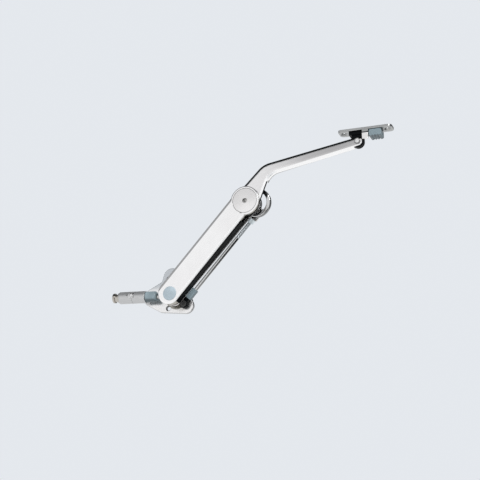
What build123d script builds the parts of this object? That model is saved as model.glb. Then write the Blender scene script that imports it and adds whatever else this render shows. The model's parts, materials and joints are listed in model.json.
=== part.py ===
from build123d import *
from math import asin, atan2, cos, degrees, hypot, pi, radians, sin, sqrt, tan
import os

os.makedirs("parts", exist_ok=True)

# Lift-up flap fitting. Origin on the lower pivot axis at the wall, depth counts from the wall along -Y.

# Linkage
arm_length = 124.0
arm_angle = 48.0
crank_length = 39.3
crank_angle = 56.8
reach_length = 100.8
reach_angle = 10.3
elbow_fold = 130.0
arm_swing = 49.0

# Clearances
press_gap = 0.02
run_gap = 0.05
slide_gap = 0.1
layer_gap = 0.3

# Depth of each layer from the wall
plate_thickness = 3.0
disc_rise = 1.3
disc_thickness = 4.9
rear_thickness = 1.6
skin_gap = 0.2
upper_depth = 7.4
upper_wall = 1.6
washer_thickness = 0.36
front_thickness = 3.0
disc_back = plate_thickness + disc_rise
disc_front = disc_back + disc_thickness
rear_back = disc_front + layer_gap
rear_front = rear_back + rear_thickness
upper_back = rear_front + skin_gap
upper_front = upper_back + upper_depth
web_back = upper_front - upper_wall
front_back = upper_front + washer_thickness + 2 * press_gap
front_front = front_back + front_thickness

# Lower arm outlines
shank_half = 12.3
shank_shift = 2.0
head_radius = 15.4
head_edge_break = 0.4
head_break_angle = 45.0
plate_edge_round = 2.4
skirt_start = 2.0
skirt_inset = 0.5
skirt_wall = 1.2
rear_low_half = 11.0
rear_high_half = 12.4
rear_edge_round = 0.4
core_half = 11.0
core_wall = 2.0
core_pocket_half = 6.2
core_pocket_length = 11.0
core_pocket_step = 14.0
stud_radius = 2.5
stud_head_radius = 3.6
stud_head_height = 0.8
stud_step = 37.0
stud_places = [arm_length / 2 + side * stud_step for side in (-1, 0, 1)]

# Lower pivot
pivot_radius = 3.4
bush_radius = 4.5
shoulder_radius = 6.0
shoulder_height = 0.35
pivot_head_radius = 6.2
pivot_head_height = 1.1
pivot_cap_radius = 7.4
pivot_cap_depth = 1.5
pivot_cap_proud = 0.4
pivot_cap_round = 0.32
hub_radius = 8.3
hub_flat = 5.4
hub_rivet_radius = 1.3
hub_rivet_circle = 6.4
hub_rivet_angles = (100.0, 190.0)
cam_radius = 12.1
cam_lift = 4.0
cam_over = 6.0

# Elbow
elbow_pin_radius = 4.0
elbow_head_radius = 5.5
elbow_cap_radius = 13.4
elbow_cap_depth = 1.3
elbow_cap_hole = 2.5
elbow_pin_drop = 1.0
cap_edge_break = 0.3
cap_notch = 1.2
cap_notch_angle = -108.0
socket_across = 3.0
socket_depth = 2.2
insert_radius = 12.8
insert_reach = 30.0
insert_boss = 6.9
washer_radius = 11.5
spring_seat_radius = 9.5
spring_seat_depth = 1.2
disc_spring_radius = 9.0
disc_spring_thickness = 0.5
disc_spring_rise = 0.5

# Control disc
disc_radius = 15.8
disc_shift_x = 7.8
disc_shift_z = 0.75
disc_band = 4.0
disc_hub_radius = 13.2
disc_lug_radius = 4.8
disc_round = 0.9
disc_back_round = 0.5
disc_tip_round = 0.8
disc_tip_break = 0.3

# Tie rod
tie_offset = 13.0
tie_rise = 2.7
tie_depth = plate_thickness + tie_rise
tube_radius = 2.2
tube_bore = 1.75
tube_edge_break = 0.3
thread_span = 35.0
tube_top = arm_length - thread_span
tie_stud_radius = 1.7
tie_stud_engage = 8.0
tie_eye_radius = 4.6
tie_eye_round = 0.7
tie_eye_thickness = 4.8
tie_eye_low = plate_thickness + layer_gap
tie_eye_high = tie_eye_low + tie_eye_thickness
tie_pin_radius = 2.5
tie_pin_head = 3.6
tie_pin_head_height = 0.8
pin_head_round = 0.3
tie_shank_end = 7.4
tie_spigot = 6.0
sleeve_length = 12.0
sleeve_half = 3.1
sleeve_thickness = 5.8
sleeve_low = plate_thickness + skin_gap
sleeve_high = sleeve_low + sleeve_thickness
sleeve_round = 1.3
sleeve_end_round = 0.5
tab_thickness = 2.1
tab_high = disc_back - layer_gap
tab_low = tab_high - tab_thickness
tab_radius = 4.2
tab_half = 3.4
tab_end = 9.0
neck_length = 0.85
nut_gap = 0.05
nut_across = 6.4
nut_length = 5.0
nut_corner_cut = 0.5
nut_cut_angle = 30.0
upper_pin_radius = 2.0
upper_pin_head = 3.2
upper_pin_head_height = 0.8
upper_pin_low = tab_low - slide_gap - upper_pin_head_height

# Upper arm outline
eye_radius = 14.0
bend_radius = 6.0
end_radius = 5.0
crank_outer = 22.0
crank_inner = 16.0
upper_edge_round = 3.0
elbow_relief = 30.0
flap_relief = 9.0

# Flap end
flap_pin_radius = 2.5
flap_head_radius = 3.2
flap_head_height = 0.9
flap_head_round = 0.4
flap_dimple_radius = 1.9
flap_dimple_depth = 0.6
flap_dimple_angle = 30.0
flap_tail_radius = 3.4
flap_tail_height = 0.7
flap_bush_radius = 3.6
ear_radius = 6.2
ear_low = upper_back + skin_gap
ear_high = web_back - layer_gap
saddle_left = -9.0
saddle_right = 11.0
saddle_drop = 3.6
flap_rise = 13.5
flap_thickness = 2.4
flap_left = -20.2
flap_length = 56.0
flap_width = 15.6
flap_proud = 1.4
flap_corner = 4.0
flap_edge_round = 0.5
flap_hole_land = 0.9
saddle_width = 10.4
saddle_inset = 2.2
saddle_edge_round = 0.6
flap_hole_inset = 5.5
flap_hole_radius = 2.2
flap_sink_radius = 4.2
lug_thickness = 1.8
lug_left = 5.4
lug_right = 11.6
lug_drop = 10.0
slider_left = 12.0
slider_right = 25.0
slider_drop = 7.6
slider_width = 12.8
slider_inset = 0.8
slider_round = 1.6
slider_edge_round = 0.7
slider_tongue = 5.0
slider_tongue_width = 5.0
slider_tongue_inset = 4.6
slider_tongue_drop = 2.4
slider_rib_radius = 0.8
slider_rib_count = 3
slider_rib_step = 2.8

# Mounting plate
plate_left = (-29.0, 1.6, 9.4)
plate_top = (-6.3, 22.5, 9.6)
plate_low_left = (-14.5, -4.4, 11.2)
plate_right_radius = 8.2
plate_right_shift = (1.2, -1.4)
plate_centre = (-4.0, 7.0, 16.0)
plate_edge_break = 0.5
screw_radius = 2.1
screw_sink = 2.9
screw_sink_depth = 1.3
screw_spacing = 32.0
screw_line = -9.4
screw_low = -11.4

# Spring barrel
barrel_tilt = 2.2
holder_near = 19.6
holder_far = 32.0
holder_radius = 5.8
holder_near_round = 2.4
holder_far_round = 1.0
foot_half = 2.8
foot_inset = 3.8
barrel_radius = 6.4
barrel_depth = plate_thickness + skin_gap + barrel_radius
barrel_far = 62.4
barrel_bore = 4.3
barrel_spigot = 5.0
barrel_spigot_near = 24.0
barrel_wall = 3.0
barrel_end_wall = 4.0
barrel_edge_break = 0.3
barrel_seam = 46.7
seam_width = 0.5
seam_depth = 0.3
window_near = 44.4
window_far = 50.8
window_half = 3.0
window_up = 1.4
dot_radius = 0.7
dot_place = 52.4
screw_shank = 2.3
screw_shank_near = 42.0
screw_flange = 5.6
screw_flange_height = 1.1
screw_neck = 3.9
screw_neck_end = 68.0
screw_head_radius = 5.2
screw_head_end = 70.2
screw_slot_width = 1.2
screw_slot_depth = 1.2
preload_near = 46.0
preload_far = 52.0
preload_radius = 4.15
key_near = 46.6
key_length = 2.0
key_half = 1.4
key_rise = 5.7
plunger_stem = 2.2
plunger_flange = 4.0
plunger_flange_height = 2.0
spring_wire = 0.55
spring_radius = 3.35
spring_turns = 7
spring_land = 0.1

# Derived places
ca, sa = cos(radians(arm_angle)), sin(radians(arm_angle))
elbow_x, elbow_z = arm_length * ca, arm_length * sa
bend_x = elbow_x + crank_length * cos(radians(crank_angle))
bend_z = elbow_z + crank_length * sin(radians(crank_angle))
flap_x = bend_x + reach_length * cos(radians(reach_angle))
flap_z = bend_z + reach_length * sin(radians(reach_angle))
tie_x, tie_z = tie_offset * sa, -tie_offset * ca
disc_x, disc_z = elbow_x + disc_shift_x, elbow_z + disc_shift_z
flap_top = flap_z + flap_rise
flap_under = flap_top - flap_thickness
flap_high = upper_front + flap_proud
flap_low = flap_high - flap_width
flap_middle = (flap_low + flap_high) / 2
saddle_high = flap_high - saddle_inset
saddle_low = saddle_high - saddle_width
slider_high = flap_high - slider_inset
slider_low = slider_high - slider_width
slider_tongue_high = flap_high - slider_tongue_inset
slider_tongue_low = slider_tongue_high - slider_tongue_width
plate_right = (tie_x + plate_right_shift[0], tie_z + plate_right_shift[1], plate_right_radius)
tilt_c, tilt_s = cos(radians(barrel_tilt)), sin(radians(barrel_tilt))


def layer(depth):
    """Plane parallel to the wall at a depth, normal towards the room."""
    return Plane.XZ.offset(depth)


def arm_layer(depth):
    """As layer, with its X along the lower arm."""
    return Plane(origin=(0, -depth, 0), x_dir=(ca, 0, sa), z_dir=(0, -1, 0))


def tie_plane(along):
    """Plane across the tie rod, counted from its lower pin."""
    centre = (tie_x + along * ca, -tie_depth, tie_z + along * sa)
    return Plane(origin=centre, x_dir=(0, -1, 0), z_dir=(ca, 0, sa))


def tie_layer(depth):
    """Plane parallel to the wall with its origin on the lower tie pin and X along the rod."""
    return Plane(origin=(tie_x, -depth, tie_z), x_dir=(ca, 0, sa), z_dir=(0, -1, 0))


def barrel_plane(along):
    """Plane across the barrel, counted from the lower pivot."""
    centre = (-along * tilt_c, -barrel_depth, along * tilt_s)
    return Plane(origin=centre, x_dir=(0, -1, 0), z_dir=(-tilt_c, 0, tilt_s))


def barrel_layer(depth):
    """Plane parallel to the wall with its X along the barrel, away from the pivot."""
    return Plane(origin=(0, -depth, 0), x_dir=(-tilt_c, 0, tilt_s), z_dir=(0, -1, 0))


def tangents(p, rp, q, rq):
    """Where the right and the left common tangents of two circles touch them."""
    turn = atan2(q[1] - p[1], q[0] - p[0])
    lean = asin((rp - rq) / hypot(q[0] - p[0], q[1] - p[1]))
    left, right = turn + pi / 2 - lean, turn - pi / 2 + lean
    return [
        (p[0] + rp * cos(right), p[1] + rp * sin(right)),
        (q[0] + rq * cos(right), q[1] + rq * sin(right)),
        (q[0] + rq * cos(left), q[1] + rq * sin(left)),
        (p[0] + rp * cos(left), p[1] + rp * sin(left)),
    ]


def strap(p, rp, q, rq, mode=Mode.ADD):
    """Two round ends and the tangents between them."""
    with Locations(p):
        Circle(rp, mode=mode)
    with Locations(q):
        Circle(rq, mode=mode)
    Polygon(tangents(p, rp, q, rq), align=None, mode=mode)


def meet(a, b, c, d):
    """Where the line through a and b crosses the line through c and d."""
    ux, uz = b[0] - a[0], b[1] - a[1]
    vx, vz = d[0] - c[0], d[1] - c[1]
    along = ((c[0] - a[0]) * vz - (c[1] - a[1]) * vx) / (ux * vz - uz * vx)
    return (a[0] + along * ux, a[1] + along * uz)


def polar(radius, angle):
    """Point at a radius and an angle in degrees."""
    return (radius * cos(radians(angle)), radius * sin(radians(angle)))


elbow = (elbow_x, elbow_z)
bend = (bend_x, bend_z)
flap = (flap_x, flap_z)
tie_low = (tie_x, tie_z)
tie_high = (elbow_x + tie_x, elbow_z + tie_z)
disc = (disc_x, disc_z)
pivot_on_arm = (0, 0)
elbow_on_arm = (arm_length, 0)
shank_low = (0, shank_shift)
shank_high = (arm_length, shank_shift)
screw_places = [(screw_line, screw_low), (screw_line, screw_low + screw_spacing)]

# Mounting plate with three lobes and countersunk screw holes
with BuildPart() as mounting_plate:
    with BuildSketch(layer(0)):
        strap(plate_left[:2], plate_left[2], plate_low_left[:2], plate_low_left[2])
        strap(plate_low_left[:2], plate_low_left[2], plate_right[:2], plate_right[2])
        strap(plate_left[:2], plate_left[2], plate_centre[:2], plate_centre[2])
        strap(plate_centre[:2], plate_centre[2], plate_right[:2], plate_right[2])
        strap(plate_centre[:2], plate_centre[2], plate_top[:2], plate_top[2])
    extrude(amount=plate_thickness)
    chamfer(mounting_plate.faces().sort_by(Axis.Y)[0].outer_wire().edges(), plate_edge_break)
    with BuildSketch(layer(0)):
        with Locations(pivot_on_arm):
            Circle(pivot_radius + press_gap)
        with Locations(tie_low):
            Circle(tie_pin_radius + press_gap)
        with Locations(*screw_places):
            Circle(screw_radius)
    extrude(amount=plate_thickness, mode=Mode.SUBTRACT)
    with BuildSketch(layer(plate_thickness)):
        with Locations(*screw_places):
            Circle(screw_sink)
    sink_taper = degrees(atan2(screw_sink - screw_radius, screw_sink_depth))
    extrude(amount=-screw_sink_depth, taper=sink_taper, mode=Mode.SUBTRACT)
mounting_plate.part.label = "mounting_plate"
export_step(mounting_plate.part, "parts/mounting_plate.step")

# Pivot stud, riveted into the plate
with BuildPart() as pivot_stud:
    with BuildSketch(layer(0)):
        Circle(pivot_radius)
    extrude(amount=front_front - pivot_cap_depth + run_gap + pivot_head_height)
    with BuildSketch(layer(plate_thickness)):
        Circle(shoulder_radius)
    extrude(amount=shoulder_height)
    with BuildSketch(layer(front_front - pivot_cap_depth + run_gap)):
        Circle(pivot_head_radius)
    extrude(amount=pivot_head_height)
pivot_stud.part.label = "pivot_stud"
export_step(pivot_stud.part, "parts/pivot_stud.step")

# Lower tie pin with a flat head
with BuildPart() as tie_pin_lower:
    with BuildSketch(layer(0)):
        with Locations(tie_low):
            Circle(tie_pin_radius)
    extrude(amount=tie_eye_high + slide_gap)
    with BuildSketch(layer(tie_eye_high + slide_gap)):
        with Locations(tie_low):
            Circle(tie_pin_head)
    extrude(amount=tie_pin_head_height)
    fillet(tie_pin_lower.faces().sort_by(Axis.Y)[0].edges(), pin_head_round)
tie_pin_lower.part.label = "tie_pin_lower"
export_step(tie_pin_lower.part, "parts/tie_pin_lower.step")

# Barrel holder, a round collar on a foot
with BuildPart() as barrel_holder:
    with BuildSketch(barrel_plane(holder_near)):
        Circle(holder_radius)
    extrude(amount=holder_far - holder_near)
    fillet(barrel_holder.faces().sort_by(Axis.X)[-1].edges(), holder_near_round)
    fillet(barrel_holder.faces().sort_by(Axis.X)[0].edges(), holder_far_round)
    with BuildSketch(barrel_layer(plate_thickness)):
        with Locations(((holder_near + foot_inset + holder_far) / 2, 0)):
            Rectangle(holder_far - holder_near - foot_inset, 2 * foot_half)
    extrude(amount=barrel_depth - plate_thickness)
    with BuildSketch(barrel_plane(barrel_spigot_near)):
        Circle(barrel_spigot + press_gap)
    extrude(amount=holder_far - barrel_spigot_near, mode=Mode.SUBTRACT)
    with BuildSketch(barrel_plane(holder_near)):
        Circle(plunger_stem + slide_gap)
    extrude(amount=holder_far - holder_near, mode=Mode.SUBTRACT)
barrel_holder.part.label = "barrel_holder"
export_step(barrel_holder.part, "parts/barrel_holder.step")

# Spring barrel with a seam, a window and a sight hole
with BuildPart() as spring_barrel:
    with BuildSketch(barrel_plane(barrel_spigot_near)):
        Circle(barrel_spigot)
    extrude(amount=holder_far - barrel_spigot_near)
    with BuildSketch(barrel_plane(holder_far)):
        Circle(barrel_radius)
    extrude(amount=barrel_far - holder_far)
    chamfer(spring_barrel.edges().filter_by(GeomType.CIRCLE).group_by(SortBy.RADIUS)[-1], barrel_edge_break)
    with BuildSketch(barrel_plane(barrel_spigot_near)):
        Circle(plunger_stem + slide_gap)
    extrude(amount=barrel_wall, mode=Mode.SUBTRACT)
    with BuildSketch(barrel_plane(barrel_spigot_near + barrel_wall)):
        Circle(barrel_bore)
    extrude(amount=barrel_far - barrel_end_wall - barrel_spigot_near - barrel_wall, mode=Mode.SUBTRACT)
    with BuildSketch(barrel_plane(barrel_far - barrel_end_wall)):
        Circle(screw_shank + run_gap)
    extrude(amount=barrel_end_wall, mode=Mode.SUBTRACT)
    with BuildSketch(barrel_plane(barrel_seam - seam_width / 2)):
        Circle(barrel_radius + seam_depth)
        Circle(barrel_radius - seam_depth, mode=Mode.SUBTRACT)
    extrude(amount=seam_width, mode=Mode.SUBTRACT)
    with BuildSketch(barrel_layer(barrel_depth)):
        with Locations(((window_near + window_far) / 2, -window_up)):
            RectangleRounded(window_far - window_near, 2 * window_half, 2 * seam_depth)
        with Locations((dot_place, -window_up)):
            Circle(dot_radius)
    extrude(amount=barrel_radius + seam_depth, mode=Mode.SUBTRACT)
spring_barrel.part.label = "spring_barrel"
export_step(spring_barrel.part, "parts/spring_barrel.step")

# Plunger with a flange for the spring and a rounded nose that meets the cam
nose_radius = plunger_stem
nose_centre = cam_radius + nose_radius + run_gap
flange_near = barrel_spigot_near + barrel_wall + run_gap
with BuildPart() as plunger:
    with BuildSketch(barrel_layer(barrel_depth - plunger_stem)):
        with Locations((nose_centre, 0)):
            Circle(nose_radius)
    extrude(amount=2 * plunger_stem)
    with BuildSketch(barrel_plane(nose_centre - nose_radius)):
        Circle(plunger_stem)
    extrude(amount=2 * nose_radius, mode=Mode.INTERSECT)
    with BuildSketch(barrel_plane(nose_centre)):
        Circle(plunger_stem)
    extrude(amount=flange_near - nose_centre)
    with BuildSketch(barrel_plane(flange_near)):
        Circle(plunger_flange)
    extrude(amount=plunger_flange_height)
plunger.part.label = "plunger"
export_step(plunger.part, "parts/plunger.step")

# Barrel spring between the plunger and the preload nut
spring_start = flange_near + plunger_flange_height + spring_wire + spring_land
spring_height = preload_near - spring_start - spring_wire - spring_land
with BuildPart() as barrel_spring:
    with BuildLine(barrel_plane(spring_start)) as coil:
        Helix(spring_height / spring_turns, spring_height, spring_radius, direction=(-tilt_c, 0, tilt_s))
    with BuildSketch(Plane(origin=coil.line @ 0, z_dir=coil.line % 0)):
        Circle(spring_wire)
    sweep(path=coil.line, is_frenet=True)
barrel_spring.part.label = "barrel_spring"
export_step(barrel_spring.part, "parts/barrel_spring.step")

# Preload screw with a spool-shaped slotted head
with BuildPart() as preload_screw:
    with BuildSketch(barrel_plane(screw_shank_near)):
        Circle(screw_shank)
    extrude(amount=barrel_far - screw_shank_near)
    with BuildSketch(barrel_plane(barrel_far + run_gap)):
        Circle(screw_flange)
    extrude(amount=screw_flange_height)
    with BuildSketch(barrel_plane(barrel_far)):
        Circle(screw_shank)
    extrude(amount=screw_flange_height)
    with BuildSketch(barrel_plane(barrel_far + screw_flange_height)):
        Circle(screw_neck)
    extrude(amount=screw_neck_end - barrel_far - screw_flange_height)
    with BuildSketch(barrel_plane(screw_neck_end)):
        Circle(screw_head_radius)
    extrude(amount=screw_head_end - screw_neck_end)
    fillet(preload_screw.faces().sort_by(Axis.X)[0].edges(), screw_slot_depth / 2)
    with BuildSketch(barrel_plane(screw_head_end - screw_slot_depth)):
        Rectangle(screw_slot_width, 2 * screw_head_radius)
    extrude(amount=screw_slot_depth, mode=Mode.SUBTRACT)
preload_screw.part.label = "preload_screw"
export_step(preload_screw.part, "parts/preload_screw.step")

# Preload nut with a key that rides in the window and keeps it from turning
with BuildPart() as preload_nut:
    with BuildSketch(barrel_plane(preload_near)):
        Circle(preload_radius)
    extrude(amount=preload_far - preload_near)
    with BuildSketch(barrel_layer(barrel_depth)):
        with Locations((key_near + key_length / 2, -window_up)):
            Rectangle(key_length, 2 * key_half)
    extrude(amount=key_rise)
    with BuildSketch(barrel_plane(preload_near)):
        Circle(screw_shank + run_gap)
    extrude(amount=preload_far - preload_near, mode=Mode.SUBTRACT)
preload_nut.part.label = "preload_nut"
export_step(preload_nut.part, "parts/preload_nut.step")

# Front plate, with a larger head at the elbow and turned back round the pivot end
skirt_radius = shank_half - skirt_inset
skirt_back = barrel_depth + plunger_stem + layer_gap
with BuildPart() as front_plate:
    with BuildSketch(arm_layer(front_back)):
        strap(shank_low, shank_half, shank_high, shank_half)
    extrude(amount=front_thickness)
    fillet(front_plate.faces().sort_by(Axis.Y)[0].outer_wire().edges(), plate_edge_round)
    with BuildSketch(arm_layer(front_back)):
        with Locations(elbow_on_arm):
            Circle(head_radius)
    extrude(amount=front_thickness - head_edge_break)
    with BuildSketch(arm_layer(front_front - head_edge_break)):
        with Locations(elbow_on_arm):
            Circle(head_radius)
    extrude(amount=head_edge_break, taper=head_break_angle)
    with BuildSketch(arm_layer(skirt_back)):
        with Locations(shank_low):
            Circle(skirt_radius)
            Circle(skirt_radius - skirt_wall, mode=Mode.SUBTRACT)
        with Locations((-skirt_start - shank_half, shank_shift)):
            Rectangle(2 * shank_half, 2 * shank_half, mode=Mode.INTERSECT)
    extrude(amount=front_back - skirt_back)
    with BuildSketch(arm_layer(front_front - pivot_cap_depth)):
        Circle(pivot_cap_radius + press_gap)
    extrude(amount=pivot_cap_depth, mode=Mode.SUBTRACT)
    with BuildSketch(arm_layer(front_front - elbow_cap_depth)):
        with Locations(elbow_on_arm):
            Circle(elbow_cap_radius + press_gap)
        notch_place = Vector(*elbow_on_arm) + Vector(*polar(elbow_cap_radius, cap_notch_angle - arm_angle))
        with Locations(notch_place):
            Circle(cap_notch)
    extrude(amount=elbow_cap_depth, mode=Mode.SUBTRACT)
    with BuildSketch(arm_layer(front_back)):
        Circle(bush_radius + press_gap)
        with Locations(elbow_on_arm):
            Circle(elbow_pin_radius + run_gap)
    extrude(amount=front_thickness, mode=Mode.SUBTRACT)
front_plate.part.label = "front_plate"
export_step(front_plate.part, "parts/front_plate.step")

# Rear plate
with BuildPart() as rear_plate:
    with BuildSketch(arm_layer(rear_back)):
        strap(pivot_on_arm, rear_low_half, elbow_on_arm, rear_high_half)
        Circle(bush_radius + press_gap, mode=Mode.SUBTRACT)
        with Locations(elbow_on_arm):
            Circle(elbow_pin_radius + run_gap, mode=Mode.SUBTRACT)
        with Locations(*[(place, 0) for place in stud_places]):
            Circle(stud_radius + press_gap, mode=Mode.SUBTRACT)
        with Locations(*[polar(hub_rivet_circle, angle) for angle in hub_rivet_angles]):
            Circle(hub_rivet_radius + press_gap, mode=Mode.SUBTRACT)
    extrude(amount=rear_thickness)
    fillet(rear_plate.faces().sort_by(Axis.Y)[-1].outer_wire().edges(), rear_edge_round)
rear_plate.part.label = "rear_plate"
export_step(rear_plate.part, "parts/rear_plate.step")

# Arm core between the plates, ribbed at the back and cut clear of the folded upper arm
fold_direction = crank_angle - elbow_fold - arm_angle
fold_place = Vector(*elbow_on_arm) + Vector(*polar(crank_length, fold_direction))
with BuildPart() as arm_core:
    with BuildSketch(arm_layer(rear_front)):
        with Locations(((arm_length - skirt_start) / 2, 0)):
            Rectangle(arm_length + skirt_start - 2 * slide_gap, 2 * core_half)
        with Locations(shank_low):
            Circle(skirt_radius - skirt_wall - slide_gap)
        with Locations(elbow_on_arm):
            Circle(core_half)
        folded = (fold_place.X, fold_place.Y)
        strap(elbow_on_arm, eye_radius + layer_gap, folded, bend_radius + layer_gap, Mode.SUBTRACT)
        Circle(bush_radius + press_gap, mode=Mode.SUBTRACT)
        with Locations(*[(place, 0) for place in stud_places]):
            Circle(stud_radius + press_gap, mode=Mode.SUBTRACT)
    extrude(amount=front_back - rear_front)
    with BuildSketch(arm_layer(rear_front)):
        for place in stud_places[:-1]:
            for side in (-1, 1):
                with Locations((place + (stud_step + side * core_pocket_step) / 2, 0)):
                    Rectangle(core_pocket_length, 2 * core_pocket_half)
    extrude(amount=front_back - rear_front - core_wall, mode=Mode.SUBTRACT)
arm_core.part.label = "arm_core"
export_step(arm_core.part, "parts/arm_core.step")

# Arm studs that join the plates through the core
with BuildPart() as arm_studs:
    with BuildSketch(arm_layer(rear_back)):
        with Locations(*[(place, 0) for place in stud_places]):
            Circle(stud_radius)
    extrude(amount=front_back - rear_back)
    with BuildSketch(arm_layer(rear_back)):
        with Locations(*[(place, 0) for place in stud_places]):
            Circle(stud_head_radius)
    extrude(amount=-stud_head_height)
arm_studs.part.label = "arm_studs"
export_step(arm_studs.part, "parts/arm_studs.step")


def cam_point(turn):
    """Cam edge after a turn: an evenly growing path of the nose, moved in by the nose's radius."""
    rate = cam_lift / radians(arm_swing)
    reach = cam_radius + nose_radius + rate * radians(turn)
    angle = radians(180 - barrel_tilt - turn - arm_angle)
    lean = atan2(rate, reach)
    normal = angle + lean
    return (reach * cos(angle) - nose_radius * cos(normal), reach * sin(angle) - nose_radius * sin(normal))


# Hub cam with an evenly rising lobe and a flat beside the tie rod
hub_back = plate_thickness + shoulder_height + run_gap
cam_turns = [-cam_over + step * (arm_swing + 2 * cam_over) / 6 for step in range(7)]
with BuildPart() as hub_cam:
    with BuildSketch(arm_layer(hub_back)):
        Circle(hub_radius)
        with BuildLine():
            lobe = Spline([cam_point(turn) for turn in cam_turns])
            Polyline(lobe @ 1, pivot_on_arm, lobe @ 0)
        make_face()
        with Locations((0, -hub_flat - hub_radius)):
            Rectangle(4 * hub_radius, 2 * hub_radius, mode=Mode.SUBTRACT)
        Circle(bush_radius + press_gap, mode=Mode.SUBTRACT)
        with Locations(*[polar(hub_rivet_circle, angle) for angle in hub_rivet_angles]):
            Circle(hub_rivet_radius + press_gap, mode=Mode.SUBTRACT)
    extrude(amount=rear_back - hub_back)
hub_cam.part.label = "hub_cam"
export_step(hub_cam.part, "parts/hub_cam.step")

# Hub rivets
with BuildPart() as hub_rivets:
    with BuildSketch(arm_layer(hub_back)):
        with Locations(*[polar(hub_rivet_circle, angle) for angle in hub_rivet_angles]):
            Circle(hub_rivet_radius)
    extrude(amount=rear_front - hub_back)
hub_rivets.part.label = "hub_rivets"
export_step(hub_rivets.part, "parts/hub_rivets.step")

# Pivot bush
with BuildPart() as pivot_bush:
    with BuildSketch(arm_layer(hub_back)):
        Circle(bush_radius)
        Circle(pivot_radius + run_gap, mode=Mode.SUBTRACT)
    extrude(amount=front_front - pivot_cap_depth - hub_back)
pivot_bush.part.label = "pivot_bush"
export_step(pivot_bush.part, "parts/pivot_bush.step")

# Pivot cap, hollow over the stud's head
with BuildPart() as pivot_cap:
    with BuildSketch(arm_layer(front_front - pivot_cap_depth)):
        Circle(pivot_cap_radius)
    extrude(amount=pivot_cap_depth + pivot_cap_proud)
    fillet(pivot_cap.faces().sort_by(Axis.Y)[0].edges(), pivot_cap_round)
    with BuildSketch(arm_layer(front_front - pivot_cap_depth)):
        Circle(pivot_head_radius + slide_gap)
    extrude(amount=run_gap + pivot_head_height + slide_gap, mode=Mode.SUBTRACT)
pivot_cap.part.label = "pivot_cap"
export_step(pivot_cap.part, "parts/pivot_cap.step")

# Elbow cap with a hole for the key
with BuildPart() as elbow_cap:
    with BuildSketch(layer(front_front - elbow_cap_depth)):
        with Locations(elbow):
            Circle(elbow_cap_radius)
            Circle(elbow_cap_hole, mode=Mode.SUBTRACT)
    extrude(amount=elbow_cap_depth)
    chamfer(elbow_cap.faces().sort_by(Axis.Y)[0].edges(), cap_edge_break)
elbow_cap.part.label = "elbow_cap"
export_step(elbow_cap.part, "parts/elbow_cap.step")

# Friction washer between the front plate and the upper arm
with BuildPart() as friction_washer:
    with BuildSketch(layer(upper_front + press_gap)):
        with Locations(elbow):
            Circle(washer_radius)
            Circle(elbow_pin_radius + slide_gap, mode=Mode.SUBTRACT)
    extrude(amount=washer_thickness)
friction_washer.part.label = "friction_washer"
export_step(friction_washer.part, "parts/friction_washer.step")

# Disc spring in the insert's seat
with BuildPart() as disc_spring:
    with BuildSketch(Plane(origin=(elbow_x, -rear_front, elbow_z), x_dir=(1, 0, 0), z_dir=(0, 0, 1))):
        with BuildLine():
            Polyline(
                (elbow_pin_radius + slide_gap, -disc_spring_rise - press_gap),
                (disc_spring_radius, -press_gap),
                (disc_spring_radius, -disc_spring_thickness - press_gap),
                (elbow_pin_radius + slide_gap, -disc_spring_rise - disc_spring_thickness - press_gap),
                close=True,
            )
        make_face()
    revolve(axis=Axis((elbow_x, 0, elbow_z), (0, 1, 0)))
disc_spring.part.label = "disc_spring"
export_step(disc_spring.part, "parts/disc_spring.step")

# Control disc, a hoop with a crescent window, carried by the elbow pin
with BuildPart() as control_disc:
    with BuildSketch(layer(disc_back)):
        with Locations(disc):
            Circle(disc_radius)
    extrude(amount=disc_front - disc_back)
    fillet(control_disc.faces().sort_by(Axis.Y)[0].edges(), disc_round)
    fillet(control_disc.faces().sort_by(Axis.Y)[-1].edges(), disc_back_round)
    with BuildSketch(layer(disc_back)) as crescent:
        with Locations(disc):
            Circle(disc_radius - disc_band)
        with Locations(elbow):
            Circle(disc_hub_radius, mode=Mode.SUBTRACT)
        with Locations(tie_high):
            Circle(disc_lug_radius, mode=Mode.SUBTRACT)
        fillet(crescent.vertices(), disc_tip_round)
    extrude(amount=disc_front - disc_back, mode=Mode.SUBTRACT)
    chamfer(control_disc.faces().sort_by(Axis.Y)[0].inner_wires().edges(), disc_tip_break)
    with BuildSketch(layer(disc_back)):
        with Locations(elbow):
            Circle(elbow_pin_radius + press_gap)
        with Locations(tie_high):
            Circle(upper_pin_radius + press_gap)
    extrude(amount=disc_front - disc_back, mode=Mode.SUBTRACT)
control_disc.part.label = "control_disc"
export_step(control_disc.part, "parts/control_disc.step")

# Elbow pin with a flat head at the back and a key socket at the front
pin_front = front_front - elbow_cap_depth - elbow_pin_drop
pin_back = disc_back - pivot_head_height
with BuildPart() as elbow_pin:
    with BuildSketch(layer(pin_back)):
        with Locations(elbow):
            Circle(elbow_head_radius)
    extrude(amount=pivot_head_height)
    with BuildSketch(layer(disc_back)):
        with Locations(elbow):
            Circle(elbow_pin_radius)
    extrude(amount=pin_front - disc_back)
    chamfer(elbow_pin.faces().sort_by(Axis.Y)[0].edges(), cap_edge_break)
    with BuildSketch(layer(pin_front)):
        with Locations(elbow):
            RegularPolygon(socket_across / 2, 6, major_radius=False)
    extrude(amount=-socket_depth, mode=Mode.SUBTRACT)
elbow_pin.part.label = "elbow_pin"
export_step(elbow_pin.part, "parts/elbow_pin.step")

# Upper tie pin on the control disc
with BuildPart() as tie_pin_upper:
    with BuildSketch(layer(upper_pin_low)):
        with Locations(tie_high):
            Circle(upper_pin_radius)
    extrude(amount=disc_front - upper_pin_low)
    with BuildSketch(layer(upper_pin_low)):
        with Locations(tie_high):
            Circle(upper_pin_head)
    extrude(amount=upper_pin_head_height)
    fillet(tie_pin_upper.faces().sort_by(Axis.Y)[-1].edges(), pin_head_round)
tie_pin_upper.part.label = "tie_pin_upper"
export_step(tie_pin_upper.part, "parts/tie_pin_upper.step")

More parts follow.
